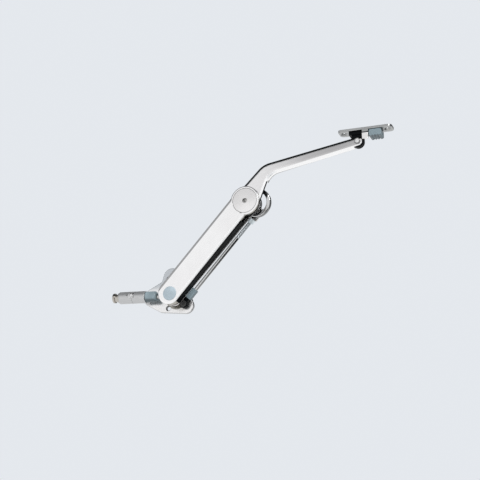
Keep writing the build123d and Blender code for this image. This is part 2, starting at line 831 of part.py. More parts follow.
# Tie eye with a spigot for the tube
with BuildPart() as tie_eye:
    with BuildSketch(tie_layer(tie_eye_low)):
        Circle(tie_eye_radius)
        with Locations((tie_shank_end / 2, 0)):
            Rectangle(tie_shank_end, 2 * tube_radius)
        Circle(tie_pin_radius + run_gap, mode=Mode.SUBTRACT)
    extrude(amount=tie_eye_high - tie_eye_low)
    eye_rim = tie_eye.faces().sort_by(Axis.Y)[0].outer_wire().edges()
    fillet(eye_rim.filter_by(GeomType.CIRCLE), tie_eye_round)
    with BuildSketch(tie_plane(tie_shank_end)):
        Circle(tube_bore - press_gap)
    extrude(amount=tie_spigot)
tie_eye.part.label = "tie_eye"
export_step(tie_eye.part, "parts/tie_eye.step")

# Tie sleeve over the tube's lower end
with BuildPart() as tie_sleeve:
    with BuildSketch(tie_plane(tie_shank_end)):
        with Locations(((sleeve_low + sleeve_high) / 2 - tie_depth, 0)):
            RectangleRounded(sleeve_high - sleeve_low, 2 * sleeve_half, sleeve_round)
    extrude(amount=sleeve_length)
    fillet(tie_sleeve.faces().sort_by(Axis.X)[-1].edges(), sleeve_end_round)
    with BuildSketch(tie_plane(tie_shank_end)):
        Circle(tube_radius + press_gap)
    extrude(amount=sleeve_length, mode=Mode.SUBTRACT)
tie_sleeve.part.label = "tie_sleeve"
export_step(tie_sleeve.part, "parts/tie_sleeve.step")

# Tie tube
with BuildPart() as tie_tube:
    with BuildSketch(tie_plane(tie_shank_end)):
        Circle(tube_radius)
        Circle(tube_bore, mode=Mode.SUBTRACT)
    extrude(amount=tube_top - tie_shank_end)
    tube_rims = tie_tube.edges().filter_by(GeomType.CIRCLE).group_by(SortBy.RADIUS)[-1]
    chamfer(tube_rims.sort_by(Axis.X)[-1], tube_edge_break)
tie_tube.part.label = "tie_tube"
export_step(tie_tube.part, "parts/tie_tube.step")

# Tie stud, round for the thread and flattened to an eye behind the control disc
neck_far = arm_length - tab_end
neck_near = neck_far - neck_length
with BuildPart() as tie_stud:
    with BuildSketch(tie_plane(tube_top - tie_stud_engage)):
        Circle(tie_stud_radius)
    extrude(amount=neck_near - tube_top + tie_stud_engage)
    with BuildSketch(tie_layer(tab_low)):
        with Locations(((neck_near + neck_far) / 2, 0)):
            Rectangle(neck_length, 2 * tie_stud_radius)
    extrude(amount=tie_depth + tie_stud_radius - tab_low)
    with BuildSketch(tie_layer(tab_low)):
        with Locations(((neck_near + arm_length) / 2, 0)):
            Rectangle(arm_length - neck_near, 2 * tab_half)
        with Locations(elbow_on_arm):
            Circle(tab_radius)
            Circle(upper_pin_radius + run_gap, mode=Mode.SUBTRACT)
    extrude(amount=tab_high - tab_low)
tie_stud.part.label = "tie_stud"
export_step(tie_stud.part, "parts/tie_stud.step")

# Tie nut with its corners cut
nut_start = tie_plane(neck_near - nut_gap - nut_length)
nut_corner = nut_across / sqrt(3)
with BuildPart() as tie_nut:
    with BuildSketch(nut_start):
        RegularPolygon(nut_across / 2, 6, major_radius=False, rotation=0)
        Circle(tie_stud_radius + run_gap, mode=Mode.SUBTRACT)
    extrude(amount=nut_length)
    with BuildSketch(Plane(origin=nut_start.origin, x_dir=nut_start.x_dir, z_dir=nut_start.y_dir)):
        with BuildLine():
            Polyline(
                (0, 0),
                (nut_corner - nut_corner_cut, 0),
                (nut_corner, -nut_corner_cut * tan(radians(nut_cut_angle))),
                (nut_corner, -nut_length + nut_corner_cut * tan(radians(nut_cut_angle))),
                (nut_corner - nut_corner_cut, -nut_length),
                (0, -nut_length),
                close=True,
            )
        make_face()
    revolve(axis=Axis(nut_start.origin, nut_start.z_dir), mode=Mode.INTERSECT)
tie_nut.part.label = "tie_nut"
export_step(tie_nut.part, "parts/tie_nut.step")

# Upper arm, a pressed channel that is wide at the elbow, cranked and open at the back
crank = tangents(elbow, eye_radius, bend, bend_radius)
reach = tangents(bend, bend_radius, flap, end_radius)
inner_corner = meet(*crank[:2], *reach[:2])
outer_corner = meet(*crank[2:], *reach[2:])
with BuildPart() as upper_arm:
    with BuildSketch(layer(upper_back)) as upper_outline:
        with Locations(elbow):
            Circle(eye_radius)
        with Locations(flap):
            Circle(end_radius)
        Polygon(crank[0], inner_corner, *reach[1:3], outer_corner, crank[3], align=None)
        fillet(upper_outline.vertices().sort_by_distance(inner_corner)[0], crank_inner)
        fillet(upper_outline.vertices().sort_by_distance(outer_corner)[0], crank_outer)
    extrude(amount=upper_front - upper_back)
    fillet(upper_arm.faces().sort_by(Axis.Y)[0].edges(), upper_edge_round)
    with BuildSketch(layer(upper_back)):
        add(upper_outline.sketch)
        offset(amount=-upper_wall, mode=Mode.REPLACE)
    extrude(amount=web_back - upper_back, mode=Mode.SUBTRACT)
    with BuildSketch(layer(upper_back)):
        with Locations(elbow):
            Circle(elbow_relief)
        with Locations(flap):
            Circle(ear_radius + 2 * layer_gap)
        with Locations((flap_x, flap_z + flap_relief / 2)):
            Rectangle(2 * flap_relief, flap_relief)
    extrude(amount=web_back - upper_back, mode=Mode.SUBTRACT)
    with BuildSketch(layer(web_back)):
        with Locations(elbow):
            Circle(insert_boss + press_gap)
        with Locations(flap):
            Circle(flap_pin_radius + press_gap)
    extrude(amount=upper_wall, mode=Mode.SUBTRACT)
upper_arm.part.label = "upper_arm"
export_step(upper_arm.part, "parts/upper_arm.step")

# Elbow insert, the bearing body inside the channel's eye
with BuildPart() as elbow_insert:
    with BuildSketch(layer(upper_back)):
        add(upper_outline.sketch)
        offset(amount=-upper_wall - slide_gap, mode=Mode.REPLACE)
        with Locations(elbow):
            Circle(insert_reach, mode=Mode.INTERSECT)
        with Locations(elbow):
            Circle(insert_radius)
    extrude(amount=web_back - upper_back)
    with BuildSketch(layer(web_back)):
        with Locations(elbow):
            Circle(insert_boss)
    extrude(amount=upper_wall)
    with BuildSketch(layer(upper_back)):
        with Locations(elbow):
            Circle(elbow_pin_radius + slide_gap)
    extrude(amount=upper_front - upper_back, mode=Mode.SUBTRACT)
    with BuildSketch(layer(upper_back)):
        with Locations(elbow):
            Circle(spring_seat_radius)
    extrude(amount=spring_seat_depth, mode=Mode.SUBTRACT)
elbow_insert.part.label = "elbow_insert"
export_step(elbow_insert.part, "parts/elbow_insert.step")

# Flap pin with a rounded and dimpled head
with BuildPart() as flap_pin:
    with BuildSketch(layer(upper_front)):
        with Locations(flap):
            Circle(flap_head_radius)
    extrude(amount=flap_head_height)
    fillet(flap_pin.faces().sort_by(Axis.Y)[0].edges(), flap_head_round)
    with BuildSketch(layer(upper_front + flap_head_height)):
        with Locations(flap):
            Circle(flap_dimple_radius)
    extrude(amount=-flap_dimple_depth, taper=flap_dimple_angle, mode=Mode.SUBTRACT)
    with BuildSketch(layer(upper_back)):
        with Locations(flap):
            Circle(flap_pin_radius)
    extrude(amount=upper_front - upper_back)
    with BuildSketch(layer(upper_back)):
        with Locations(flap):
            Circle(flap_tail_radius)
    extrude(amount=-flap_tail_height)
flap_pin.part.label = "flap_pin"
export_step(flap_pin.part, "parts/flap_pin.step")

# Flap base plate with two screw holes and a front lug shaped round the arm's end
flap_start = flap_x + flap_left
flap_holes = [(flap_start + flap_hole_inset, 0), (flap_start + flap_length - flap_hole_inset, 0)]
flap_floor = Plane(origin=(0, -flap_middle, flap_under), x_dir=(1, 0, 0), z_dir=(0, 0, 1))
with BuildPart() as flap_base:
    with BuildSketch(flap_floor):
        with Locations((flap_start + flap_length / 2, 0)):
            RectangleRounded(flap_length, flap_width, flap_corner)
    extrude(amount=flap_thickness)
    fillet(flap_base.faces().sort_by(Axis.Z)[0].edges(), flap_edge_round)
    with BuildSketch(layer(flap_high - lug_thickness)):
        with Locations((flap_x + (lug_left + lug_right) / 2, flap_under - lug_drop / 2)):
            Rectangle(lug_right - lug_left, lug_drop)
        with Locations(flap):
            Circle(end_radius + layer_gap + slide_gap, mode=Mode.SUBTRACT)
    extrude(amount=lug_thickness)
    with BuildSketch(flap_floor):
        with Locations(*flap_holes):
            Circle(flap_hole_radius)
    extrude(amount=flap_thickness, mode=Mode.SUBTRACT)
    with BuildSketch(flap_floor):
        with Locations(*flap_holes):
            Circle(flap_sink_radius)
    flap_taper = degrees(atan2(flap_sink_radius - flap_hole_radius, flap_thickness - flap_hole_land))
    extrude(amount=flap_thickness - flap_hole_land, taper=flap_taper, mode=Mode.SUBTRACT)
flap_base.part.label = "flap_base"
export_step(flap_base.part, "parts/flap_base.step")

# Flap saddle under the base plate, with the ear for the pin
with BuildPart() as flap_saddle:
    with BuildSketch(layer(saddle_low)):
        with Locations((flap_x + (saddle_left + saddle_right) / 2, flap_under - saddle_drop / 2)):
            Rectangle(saddle_right - saddle_left, saddle_drop)
    extrude(amount=saddle_high - saddle_low)
    fillet(flap_saddle.edges().filter_by(Axis.Z), saddle_edge_round)
    with BuildSketch(layer(ear_low)):
        with Locations(flap):
            Circle(ear_radius)
        with Locations((flap_x, (flap_z + flap_under) / 2)):
            Rectangle(2 * ear_radius, flap_under - flap_z)
        with Locations(flap):
            Circle(flap_bush_radius + press_gap, mode=Mode.SUBTRACT)
    extrude(amount=ear_high - ear_low)
    with BuildSketch(layer(slider_tongue_low - slide_gap)):
        with Locations((flap_x + saddle_right, flap_under - saddle_drop + slider_tongue_drop / 2)):
            Rectangle(2 * slider_tongue, slider_tongue_drop + 2 * slide_gap)
    extrude(amount=slider_tongue_width + 2 * slide_gap, mode=Mode.SUBTRACT)
flap_saddle.part.label = "flap_saddle"
export_step(flap_saddle.part, "parts/flap_saddle.step")

# Flap bush
with BuildPart() as flap_bush:
    with BuildSketch(layer(ear_low)):
        with Locations(flap):
            Circle(flap_bush_radius)
            Circle(flap_pin_radius + run_gap, mode=Mode.SUBTRACT)
    extrude(amount=ear_high - ear_low)
flap_bush.part.label = "flap_bush"
export_step(flap_bush.part, "parts/flap_bush.step")

# Lock slider with grip ribs and a tongue under the saddle
slider_middle = flap_x + (slider_left + slider_right) / 2
with BuildPart() as lock_slider:
    with BuildSketch(layer(slider_low)):
        with Locations((slider_middle, flap_under - slide_gap - slider_drop / 2)):
            RectangleRounded(slider_right - slider_left, slider_drop, slider_round)
    extrude(amount=slider_high - slider_low)
    fillet(lock_slider.faces().sort_by(Axis.Y)[0].edges(), slider_edge_round)
    with BuildSketch(layer(slider_tongue_low)):
        with Locations((flap_x + slider_left, flap_under - saddle_drop + slider_tongue_drop / 2)):
            Rectangle(2 * slider_tongue, slider_tongue_drop)
    extrude(amount=slider_tongue_width)
    with BuildSketch(layer(slider_low)):
        for rib in range(slider_rib_count):
            rib_shift = (rib - (slider_rib_count - 1) / 2) * slider_rib_step
            with Locations((slider_middle + rib_shift, flap_under - slide_gap - slider_drop)):
                Circle(slider_rib_radius)
    extrude(amount=slider_high - slider_low, mode=Mode.SUBTRACT)
lock_slider.part.label = "lock_slider"
export_step(lock_slider.part, "parts/lock_slider.step")
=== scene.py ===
"""Looks of a lift-up flap fitting.

Finishes for its solids, a wound spring and a cut thread that they leave plain, light, camera.
"""

import json
import logging
from abc import ABC, abstractmethod
from dataclasses import dataclass, field
from enum import Enum
from math import cos, pi, radians, sin
from typing import Any, ClassVar, Optional, Union

import bpy
import numpy as np
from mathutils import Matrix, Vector


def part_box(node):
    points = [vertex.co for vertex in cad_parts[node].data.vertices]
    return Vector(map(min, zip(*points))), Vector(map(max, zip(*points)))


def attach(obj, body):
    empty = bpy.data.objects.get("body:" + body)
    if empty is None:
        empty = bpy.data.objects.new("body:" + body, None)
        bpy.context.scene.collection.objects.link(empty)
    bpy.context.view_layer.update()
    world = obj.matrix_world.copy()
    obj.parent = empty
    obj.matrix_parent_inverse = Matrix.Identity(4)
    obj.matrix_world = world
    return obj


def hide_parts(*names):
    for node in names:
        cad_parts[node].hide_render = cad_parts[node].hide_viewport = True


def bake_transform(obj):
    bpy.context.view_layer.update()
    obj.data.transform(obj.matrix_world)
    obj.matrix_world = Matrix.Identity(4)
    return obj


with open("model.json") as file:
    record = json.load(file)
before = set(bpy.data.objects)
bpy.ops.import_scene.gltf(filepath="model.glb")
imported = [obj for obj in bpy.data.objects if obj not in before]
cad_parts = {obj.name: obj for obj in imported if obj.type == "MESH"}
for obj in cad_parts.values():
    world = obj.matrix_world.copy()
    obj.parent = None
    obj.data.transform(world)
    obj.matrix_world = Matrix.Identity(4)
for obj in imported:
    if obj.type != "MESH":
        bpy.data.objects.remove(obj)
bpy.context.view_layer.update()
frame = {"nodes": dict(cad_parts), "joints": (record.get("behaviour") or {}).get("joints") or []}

MM = 0.001
MICRON = 1.0e-6
log = logging.getLogger("flap_fitting")

Colour = tuple[float, float, float]
Vec = tuple[float, float, float]
Range = tuple[float, float]
Sockets = dict[str, Any]
Number = Union[float, int, "Wire"]
WHITE: Colour = (1.0, 1.0, 1.0)


class Wire:
    """A shader socket on which arithmetic adds Math nodes."""

    def __init__(self, graph: "Graph", socket: bpy.types.NodeSocket) -> None:
        """Keeps the graph and the output socket."""
        self.graph = graph
        self.socket = socket

    def __add__(self, other: Number) -> "Wire":
        """Sum."""
        return self.graph.math("ADD", self, other)

    __radd__ = __add__

    def __sub__(self, other: Number) -> "Wire":
        """Difference."""
        return self.graph.math("SUBTRACT", self, other)

    def __rsub__(self, other: Number) -> "Wire":
        """Difference from a number."""
        return self.graph.math("SUBTRACT", other, self)

    def __neg__(self) -> "Wire":
        """Opposite."""
        return 0.0 - self

    def __mul__(self, other: Number) -> "Wire":
        """Product."""
        return self.graph.math("MULTIPLY", self, other)

    __rmul__ = __mul__

    def __pow__(self, other: Number) -> "Wire":
        """Power."""
        return self.graph.math("POWER", self, other)

    def __rpow__(self, other: Number) -> "Wire":
        """Power of a number."""
        return self.graph.math("POWER", other, self)

    def at_least(self, other: Number) -> "Wire":
        """The larger of the two."""
        return self.graph.math("MAXIMUM", self, other)

    def at_most(self, other: Number) -> "Wire":
        """The smaller of the two."""
        return self.graph.math("MINIMUM", self, other)

    def wave(self) -> "Wire":
        """Sine."""
        return self.graph.math("SINE", self)

    def off_axis(self, other: "Wire") -> "Wire":
        """Distance from an axis, from two places at right angles across it."""
        return (self * self + other * other) ** 0.5

    def step(self, low: float, high: float) -> "Wire":
        """Smooth rise from 0 to 1.

        Args:
            low: value where the rise starts.
            high: value where it ends.

        Returns:
            The eased value.
        """
        settings = {"interpolation_type": "SMOOTHSTEP"}
        inputs = {"Value": self, "From Min": low, "From Max": high}
        return self.graph.node("ShaderNodeMapRange", settings, inputs).out("Result")

    def within(self, low: float, high: float, soft: float) -> "Wire":
        """1 between two values and 0 well outside them.

        Args:
            low: value from which it is 1.
            high: value up to which it is 1.
            soft: how far outside them it eases to 0.

        Returns:
            The eased value.
        """
        return self.step(low - soft, low) * (1.0 - self.step(high, high + soft))


class Made:
    """A node that was added, with its outputs as wires."""

    def __init__(self, graph: "Graph", node: bpy.types.Node) -> None:
        """Keeps the graph and the node."""
        self.graph = graph
        self.node = node

    def out(self, name: Union[str, int] = 0) -> Wire:
        """An output by name or place."""
        return Wire(self.graph, self.node.outputs[name])


class Graph:
    """A node tree that is filled from Python expressions."""

    BEVEL_SAMPLES: ClassVar[int] = 8

    def __init__(self, tree: bpy.types.NodeTree) -> None:
        """Empties the tree."""
        tree.nodes.clear()
        self.tree = tree

    def node(self, kind: str, settings: Optional[dict[str, Any]] = None,
             inputs: Optional[dict[Union[str, int], Any]] = None) -> Made:
        """Adds one node.

        Args:
            kind: the node's type.
            settings: its properties, which are set first.
            inputs: values or wires of its sockets, by name or place.

        Returns:
            The node with its outputs.
        """
        made = self.tree.nodes.new(kind)
        for name, value in (settings or {}).items():
            setattr(made, name, value)
        for name, value in (inputs or {}).items():
            if isinstance(value, Wire):
                self.tree.links.new(value.socket, made.inputs[name])
            else:
                made.inputs[name].default_value = value
        return Made(self, made)

    def math(self, operation: str, *values: Number) -> Wire:
        """One Math node."""
        return self.node("ShaderNodeMath", {"operation": operation}, dict(enumerate(values))).out()

    def mix(self, factor: Number, first: Union[Colour, Wire],
            second: Union[Colour, Wire]) -> Wire:
        """Blends two colours.

        Args:
            factor: 0 gives the first colour and 1 the second.
            first: a colour or a wire.
            second: a colour or a wire.

        Returns:
            The blend.
        """
        opaque = [c if isinstance(c, Wire) else (*c, 1.0) for c in (first, second)]
        inputs = {0: factor, 6: opaque[0], 7: opaque[1]}
        return self.node("ShaderNodeMix", {"data_type": "RGBA"}, inputs).out(2)

    def vector(self, operation: str, first: Wire, second: Union[Vec, Wire],
               output: Union[str, int] = 0) -> Wire:
        """One Vector Math node."""
        inputs = {0: first, 1: second}
        return self.node("ShaderNodeVectorMath", {"operation": operation}, inputs).out(output)

    def parts(self, vector: Wire) -> tuple[Wire, Wire, Wire]:
        """The three numbers of a vector."""
        made = self.node("ShaderNodeSeparateXYZ", None, {0: vector})
        return made.out(0), made.out(1), made.out(2)

    def place(self) -> Wire:
        """Object coordinates, in metres in the part's frame."""
        return self.node("ShaderNodeTexCoord").out("Object")

    def facing(self) -> tuple[Wire, Wire, Wire]:
        """Which way the surface faces in the part's frame, as three numbers."""
        return self.parts(self.node("ShaderNodeTexCoord").out("Normal"))

    def rounded(self, radius: float) -> Wire:
        """The surface's direction with its edges rounded."""
        settings = {"samples": self.BEVEL_SAMPLES}
        return self.node("ShaderNodeBevel", settings, {"Radius": radius}).out()

    def moved(self, vector: Wire, to: Vec = (0, 0, 0), turn: Vec = (0, 0, 0),
              scale: Vec = (1, 1, 1)) -> Wire:
        """A vector moved to a centre, turned and scaled by a Mapping node.

        Args:
            vector: the coordinates.
            to: the centre, which becomes the zero point.
            turn: angles in radians by which the pattern is turned.
            scale: the size of one unit along each axis of the pattern.

        Returns:
            The pattern's own coordinates.
        """
        inputs = {"Vector": vector, "Location": to, "Rotation": turn, "Scale": scale}
        return self.node("ShaderNodeMapping", {"vector_type": "TEXTURE"}, inputs).out()

    def noise(self, vector: Wire, scale: float, detail: float = 2.0,
              roughness: float = 0.5) -> Wire:
        """Soft noise from 0 to 1."""
        inputs = {"Vector": vector, "Scale": scale, "Detail": detail, "Roughness": roughness}
        return self.node("ShaderNodeTexNoise", None, inputs).out(0)


@dataclass(frozen=True)
class Finish(ABC):
    """What every finish has: a name, a colour, a gloss and a softened edge."""

    EDGE_RISE: ClassVar[Range] = (0.01, 0.22)

    name: str
    colour: Colour
    roughness: float
    edge: float = 0.25 * MM

    @abstractmethod
    def paint(self, graph: Graph, edges: Wire) -> Sockets:
        """Works out the shader's inputs.

        Args:
            graph: the material's node tree.
            edges: 0 on flat ground, up to 1 on an edge.

        Returns:
            Values or wires of the shader's sockets; "bump" holds a height in metres.
        """

    def toned(self, factor: float, lift: float = 0.0) -> Colour:
        """The finish's colour made darker or lighter."""
        red, green, blue = (min(1.0, factor * part + lift) for part in self.colour)
        return red, green, blue

    def make(self) -> bpy.types.Material:
        """Builds the material.

        Returns:
            The material, made once for each name.
        """
        made = bpy.data.materials.get(self.name)
        if made:
            return made
        made = bpy.data.materials.new(self.name)
        made.use_nodes = True
        graph = Graph(made.node_tree)
        soft = graph.rounded(self.edge)
        flat = graph.node("ShaderNodeNewGeometry").out("Normal")
        bend = 1.0 - graph.vector("DOT_PRODUCT", soft, flat, "Value")
        inputs = self.paint(graph, bend.step(*self.EDGE_RISE))
        height = inputs.pop("bump", None)
        normal = soft
        if height is not None:
            bump = {"Height": height, "Distance": 1.0, "Strength": 1.0, "Normal": soft}
            normal = graph.node("ShaderNodeBump", None, bump).out()
        shader = graph.node("ShaderNodeBsdfPrincipled", None, {**inputs, "Normal": normal})
        graph.node("ShaderNodeOutputMaterial", None, {"Surface": shader.out()})
        return made


@dataclass(frozen=True)
class PlatedSheet(Finish):
    """Plated metal with a cloud in its tint, fine lines along one direction and bright edges."""

    CLOUD_SCALE: ClassVar[float] = 26.0
    CLOUD_RISE: ClassVar[Range] = (0.35, 0.7)
    LINE_SCALE: ClassVar[float] = 2600.0
    LINE_TONE: ClassVar[float] = 0.8
    LINE_GLOSS: ClassVar[float] = 0.10
    SMUDGE_SCALE: ClassVar[float] = 75.0
    SMUDGE_RISE: ClassVar[Range] = (0.45, 0.75)
    SMUDGE_GLOSS: ClassVar[float] = 0.06
    EDGE_SHARE: ClassVar[float] = 0.5
    EDGE_TONE: ClassVar[float] = 1.08
    EDGE_GLOSS: ClassVar[float] = 0.05
    GLOSSIEST: ClassVar[float] = 0.04

    cloud: Colour = (0.88, 0.86, 0.86)
    lines: float = 0.25
    along: Vec = (0.0, 0.0, 0.0)
    long_scale: float = 30.0
    depth: float = 0.4 * MICRON
    metal: float = 1.0

    def paint(self, graph: Graph, edges: Wire) -> Sockets:
        """Puts the cloud in the colour, and the lines in the gloss and a shallow relief.

        Args:
            graph: the material's node tree.
            edges: 0 on flat ground, up to 1 on an edge.

        Returns:
            Values or wires of the shader's sockets, and the lines' height.
        """
        place = graph.place()
        cloud = graph.noise(place, self.CLOUD_SCALE, detail=3.0).step(*self.CLOUD_RISE)
        drawn = graph.moved(place, turn=self.along, scale=(self.long_scale, 1.0, 1.0))
        lines = graph.noise(drawn, self.LINE_SCALE, detail=3.0, roughness=0.6)
        smudge = graph.noise(place, self.SMUDGE_SCALE, detail=4.0, roughness=0.6)
        tint = graph.mix(cloud, self.colour, self.cloud)
        shade = graph.mix(lines * self.lines, tint, self.toned(self.LINE_TONE))
        wear_and_shade = graph.mix(edges * self.EDGE_SHARE, shade, self.toned(self.EDGE_TONE))
        rough = (self.roughness + self.LINE_GLOSS * (lines - 0.5)
                 + self.SMUDGE_GLOSS * smudge.step(*self.SMUDGE_RISE) - self.EDGE_GLOSS * edges)
        return {"Base Color": wear_and_shade, "Metallic": self.metal,
                "Roughness": rough.at_least(self.GLOSSIEST), "bump": lines * self.depth}


@dataclass(frozen=True)
class SideShadedSheet(PlatedSheet):
    """A plated sheet with painted shade on its cut sides, which greys them."""

    FACE_RISE: ClassVar[Range] = (0.3, 0.8)

    # colour of the painted shade on the sides
    side_shade: Colour = (0.36, 0.365, 0.37)

    def paint(self, graph: Graph, edges: Wire) -> Sockets:
        """Paints shade: greys the plating where the surface faces neither front nor back.

        Args:
            graph: the material's node tree.
            edges: 0 on flat ground, up to 1 on an edge.

        Returns:
            Values or wires of the shader's sockets, and a height.
        """
        painted = super().paint(graph, edges)
        front = graph.facing()[1]
        # painted shade: the sides, which face neither front nor back, are greyed
        cut = 1.0 - (front * front).step(*self.FACE_RISE)
        return {**painted, "Base Color": graph.mix(cut, painted["Base Color"], self.side_shade)}


@dataclass(frozen=True)
class PaintedShadowSheet(SideShadedSheet):
    """A side-shaded sheet with painted shadow inside a ring about the arm's hub and painted shadow
    on the part behind the arm.
    """

    RING_SOFT: ClassVar[float] = 0.4 * MM

    # colour of the painted shadow inside the ring about the hub
    wear_and_shade: Colour = (0.36, 0.345, 0.31)
    ring: float = 0.0
    # colour of the painted shadow behind the arm, which comes in over the heights below
    painted_shade: Colour = (0.55, 0.58, 0.61)
    arm_shadow_from: Range = (0.0, 1.0)

    def paint(self, graph: Graph, edges: Wire) -> Sockets:
        """Paints shadow on the front inside a ring about the pivot, and paints shadow on it by the
        height.

        Args:
            graph: the material's node tree.
            edges: 0 on flat ground, up to 1 on an edge.

        Returns:
            Values or wires of the shader's sockets, and a height.
        """
        painted = super().paint(graph, edges)
        across, _, up = graph.parts(graph.place())
        shown = (-graph.facing()[1]).step(*self.FACE_RISE)
        # painted shadow inside the ring about the pivot and, by the height, behind the arm; front
        # faces only
        outside = across.off_axis(up).step(self.ring - self.RING_SOFT, self.ring + self.RING_SOFT)
        face = graph.mix(up.step(*self.arm_shadow_from) * shown, painted["Base Color"], self.painted_shade)
        return {**painted, "Base Color": graph.mix((1.0 - outside) * shown, face, self.wear_and_shade)}


@dataclass(frozen=True)
class DrawnTube(PlatedSheet):
    """A drawn tube whose bore is painted pale and non-metallic where a window shows it, as painted
    light.
    """

    WINDOW_SOFT: ClassVar[float] = 1.0 * MM

    centre: Vec = (0.0, 0.0, 0.0)
    wall: Range = (0.0, 1.0)
    window: Range = (0.0, 1.0)
    # colour of the painted light in the bore
    bore: Colour = (0.95, 0.95, 0.955)

    def paint(self, graph: Graph, edges: Wire) -> Sockets:
        """Paints light in the bore: pales the plating by the distance from the tube's axis, near
        the window.

        Args:
            graph: the material's node tree.
            edges: 0 on flat ground, up to 1 on an edge.

        Returns:
            Values or wires of the shader's sockets, and a height.
        """
        painted = super().paint(graph, edges)
        own = graph.moved(graph.place(), to=self.centre, turn=self.along)
        along, out, up = graph.parts(own)
        near = along.within(*self.window, soft=self.WINDOW_SOFT)
        # painted light: inside the wall the bore is made pale and non-metallic
        inside = (1.0 - out.off_axis(up).step(*self.wall)) * near
        return {**painted, "Base Color": graph.mix(inside, painted["Base Color"], self.bore),
                "Metallic": self.metal - self.metal * inside}


@dataclass(frozen=True)
class BentPlate(PlatedSheet):
    """A plated plate whose front lug has a painted shade line at its bend and painted light below
    it.
    """

    SOFT: ClassVar[float] = 0.2 * MM

    lug: Range = (0.0, 1.0)
    bend: float = 0.0
    width: float = 1.0 * MM
    # colour of the painted shade line at the bend
    line: Colour = (0.06, 0.065, 0.07)
    # colour of the painted light below the bend
    tongue_light: Colour = (0.93, 0.93, 0.93)

    def paint(self, graph: Graph, edges: Wire) -> Sockets:
        """Paints a shade line at the bend and light below it on the lug, by the height.

        Args:
            graph: the material's node tree.
            edges: 0 on flat ground, up to 1 on an edge.

        Returns:
            Values or wires of the shader's sockets, and a height.
        """
        painted = super().paint(graph, edges)
        right, _, height = graph.parts(graph.place())
        on_lug = right.within(*self.lug, soft=self.SOFT)
        below = self.bend - height
        # painted light below the bend, and a painted shade line at it
        pale = below.step(self.width, self.width + self.SOFT) * on_lug
        dark = below.within(0.0, self.width, self.SOFT) * on_lug
        face = graph.mix(pale, painted["Base Color"], self.tongue_light)
        return {**painted, "Base Color": graph.mix(dark, face, self.line)}


@dataclass(frozen=True)
class BrushedPressing(PlatedSheet):
    """A pressed sheet: brushed front with painted shade towards its far end, bright turned-over
    sides, a painted dark reflection where it faces up.
    """

    UPWARD: ClassVar[Range] = (0.87, 0.5)
    UPWARD_RISE: ClassVar[Range] = (0.015, 0.05)
    FRONT_RISE: ClassVar[Range] = (0.75, 0.93)
    FLAT_RISE: ClassVar[Range] = (0.965, 0.995)
    LIP_RISE: ClassVar[Range] = (0.1, 0.3)
    LEAN_RISE: ClassVar[Range] = (0.16, 0.36)
    RIM_SHARE: ClassVar[float] = 0.8
    SOFT: ClassVar[float] = 0.3 * MM

    side: Colour = (0.94, 0.94, 0.945)
    # colour of the painted dark reflection on what faces up
    top_reflection: Colour = (0.05, 0.055, 0.055)
    # colour of the painted shade on rims and the back edge, and of the dark ring about the pin
    rim: Colour = (0.20, 0.205, 0.21)
    # gain of the painted shade at the far end of the face
    far_end_shade: Colour = (0.57, 0.57, 0.57)
    side_roughness: float = 0.14
    chalk: float = 0.9
    roll: float = 2.4 * MM
    shade_ramp: Range = (0.0, 1.0)
    back_edge_shade: float = 0.0
    eye: Vec = (0.0, 0.0, 0.0)
    eye_ring: Range = (0.0, 1.0)

    def upward(self, graph: Graph) -> Wire:
        """Finds what faces up, back from the reach, with the upper edge rolled over.

        Args:
            graph: the material's node tree.

        Returns:
            1 where the painted dark reflection lies and 0 elsewhere.
        """
        local = {"vector_type": "NORMAL", "convert_from": "WORLD", "convert_to": "OBJECT"}
        rolled = {0: graph.rounded(self.roll)}
        turned = graph.node("ShaderNodeVectorTransform", local, rolled).out()
        leant, _, raised = graph.parts(turned)
        up, back = self.UPWARD
        return (raised * up - leant * back).step(*self.UPWARD_RISE)

    def paint(self, graph: Graph, edges: Wire) -> Sockets:
        """Brushes the front and paints shade along it; bright plate, a painted dark reflection,
        painted shade rims and a painted shade line at the back edge where the surface turns over.

        Args:
            graph: the material's node tree.
            edges: 0 on flat ground, up to 1 on an edge.

        Returns:
            Values or wires of the shader's sockets, and a height.
        """
        painted = super().paint(graph, edges)
        across, back, _ = graph.facing()
        front, upward = -back, self.upward(graph)
        downward = 1.0 - front.step(*self.FRONT_RISE)
        turned = downward.at_least(upward)
        fillet = across.step(*self.LEAN_RISE) * front.step(*self.LIP_RISE) * (1.0 - upward)
        chalk = (1.0 - front.step(*self.FLAT_RISE)) * fillet
        # painted dark reflection where the surface faces up
        plate = graph.mix(upward, self.side, self.top_reflection)
        # painted shade on the rims of the turned-over sides
        side = graph.mix(edges * self.RIM_SHARE * (1.0 - fillet), plate, self.rim)
        right, depth, _ = graph.parts(graph.place())
        reach = right.step(*self.shade_ramp)
        # painted shade line along the lower back edge
        back_edge_shade = depth.step(self.back_edge_shade - self.SOFT, self.back_edge_shade) * downward * (1.0 - reach)
        # painted shade: the face darkens along the arm towards its far end
        shade_ramp = graph.mix(reach, WHITE, self.far_end_shade)
        brushed = graph.vector("MULTIPLY", painted["Base Color"], shade_ramp)
        out, _, high = graph.parts(graph.moved(graph.place(), to=self.eye))
        ring = out.off_axis(high).within(*self.eye_ring, soft=self.SOFT)
        face = graph.mix(ring, brushed, self.rim)
        rough = painted["Roughness"] + turned * (self.side_roughness - painted["Roughness"])
        return {**painted, "Roughness": rough, "Metallic": 1.0 - self.chalk * chalk,
                "Base Color": graph.mix(turned, face, graph.mix(back_edge_shade, side, self.rim))}


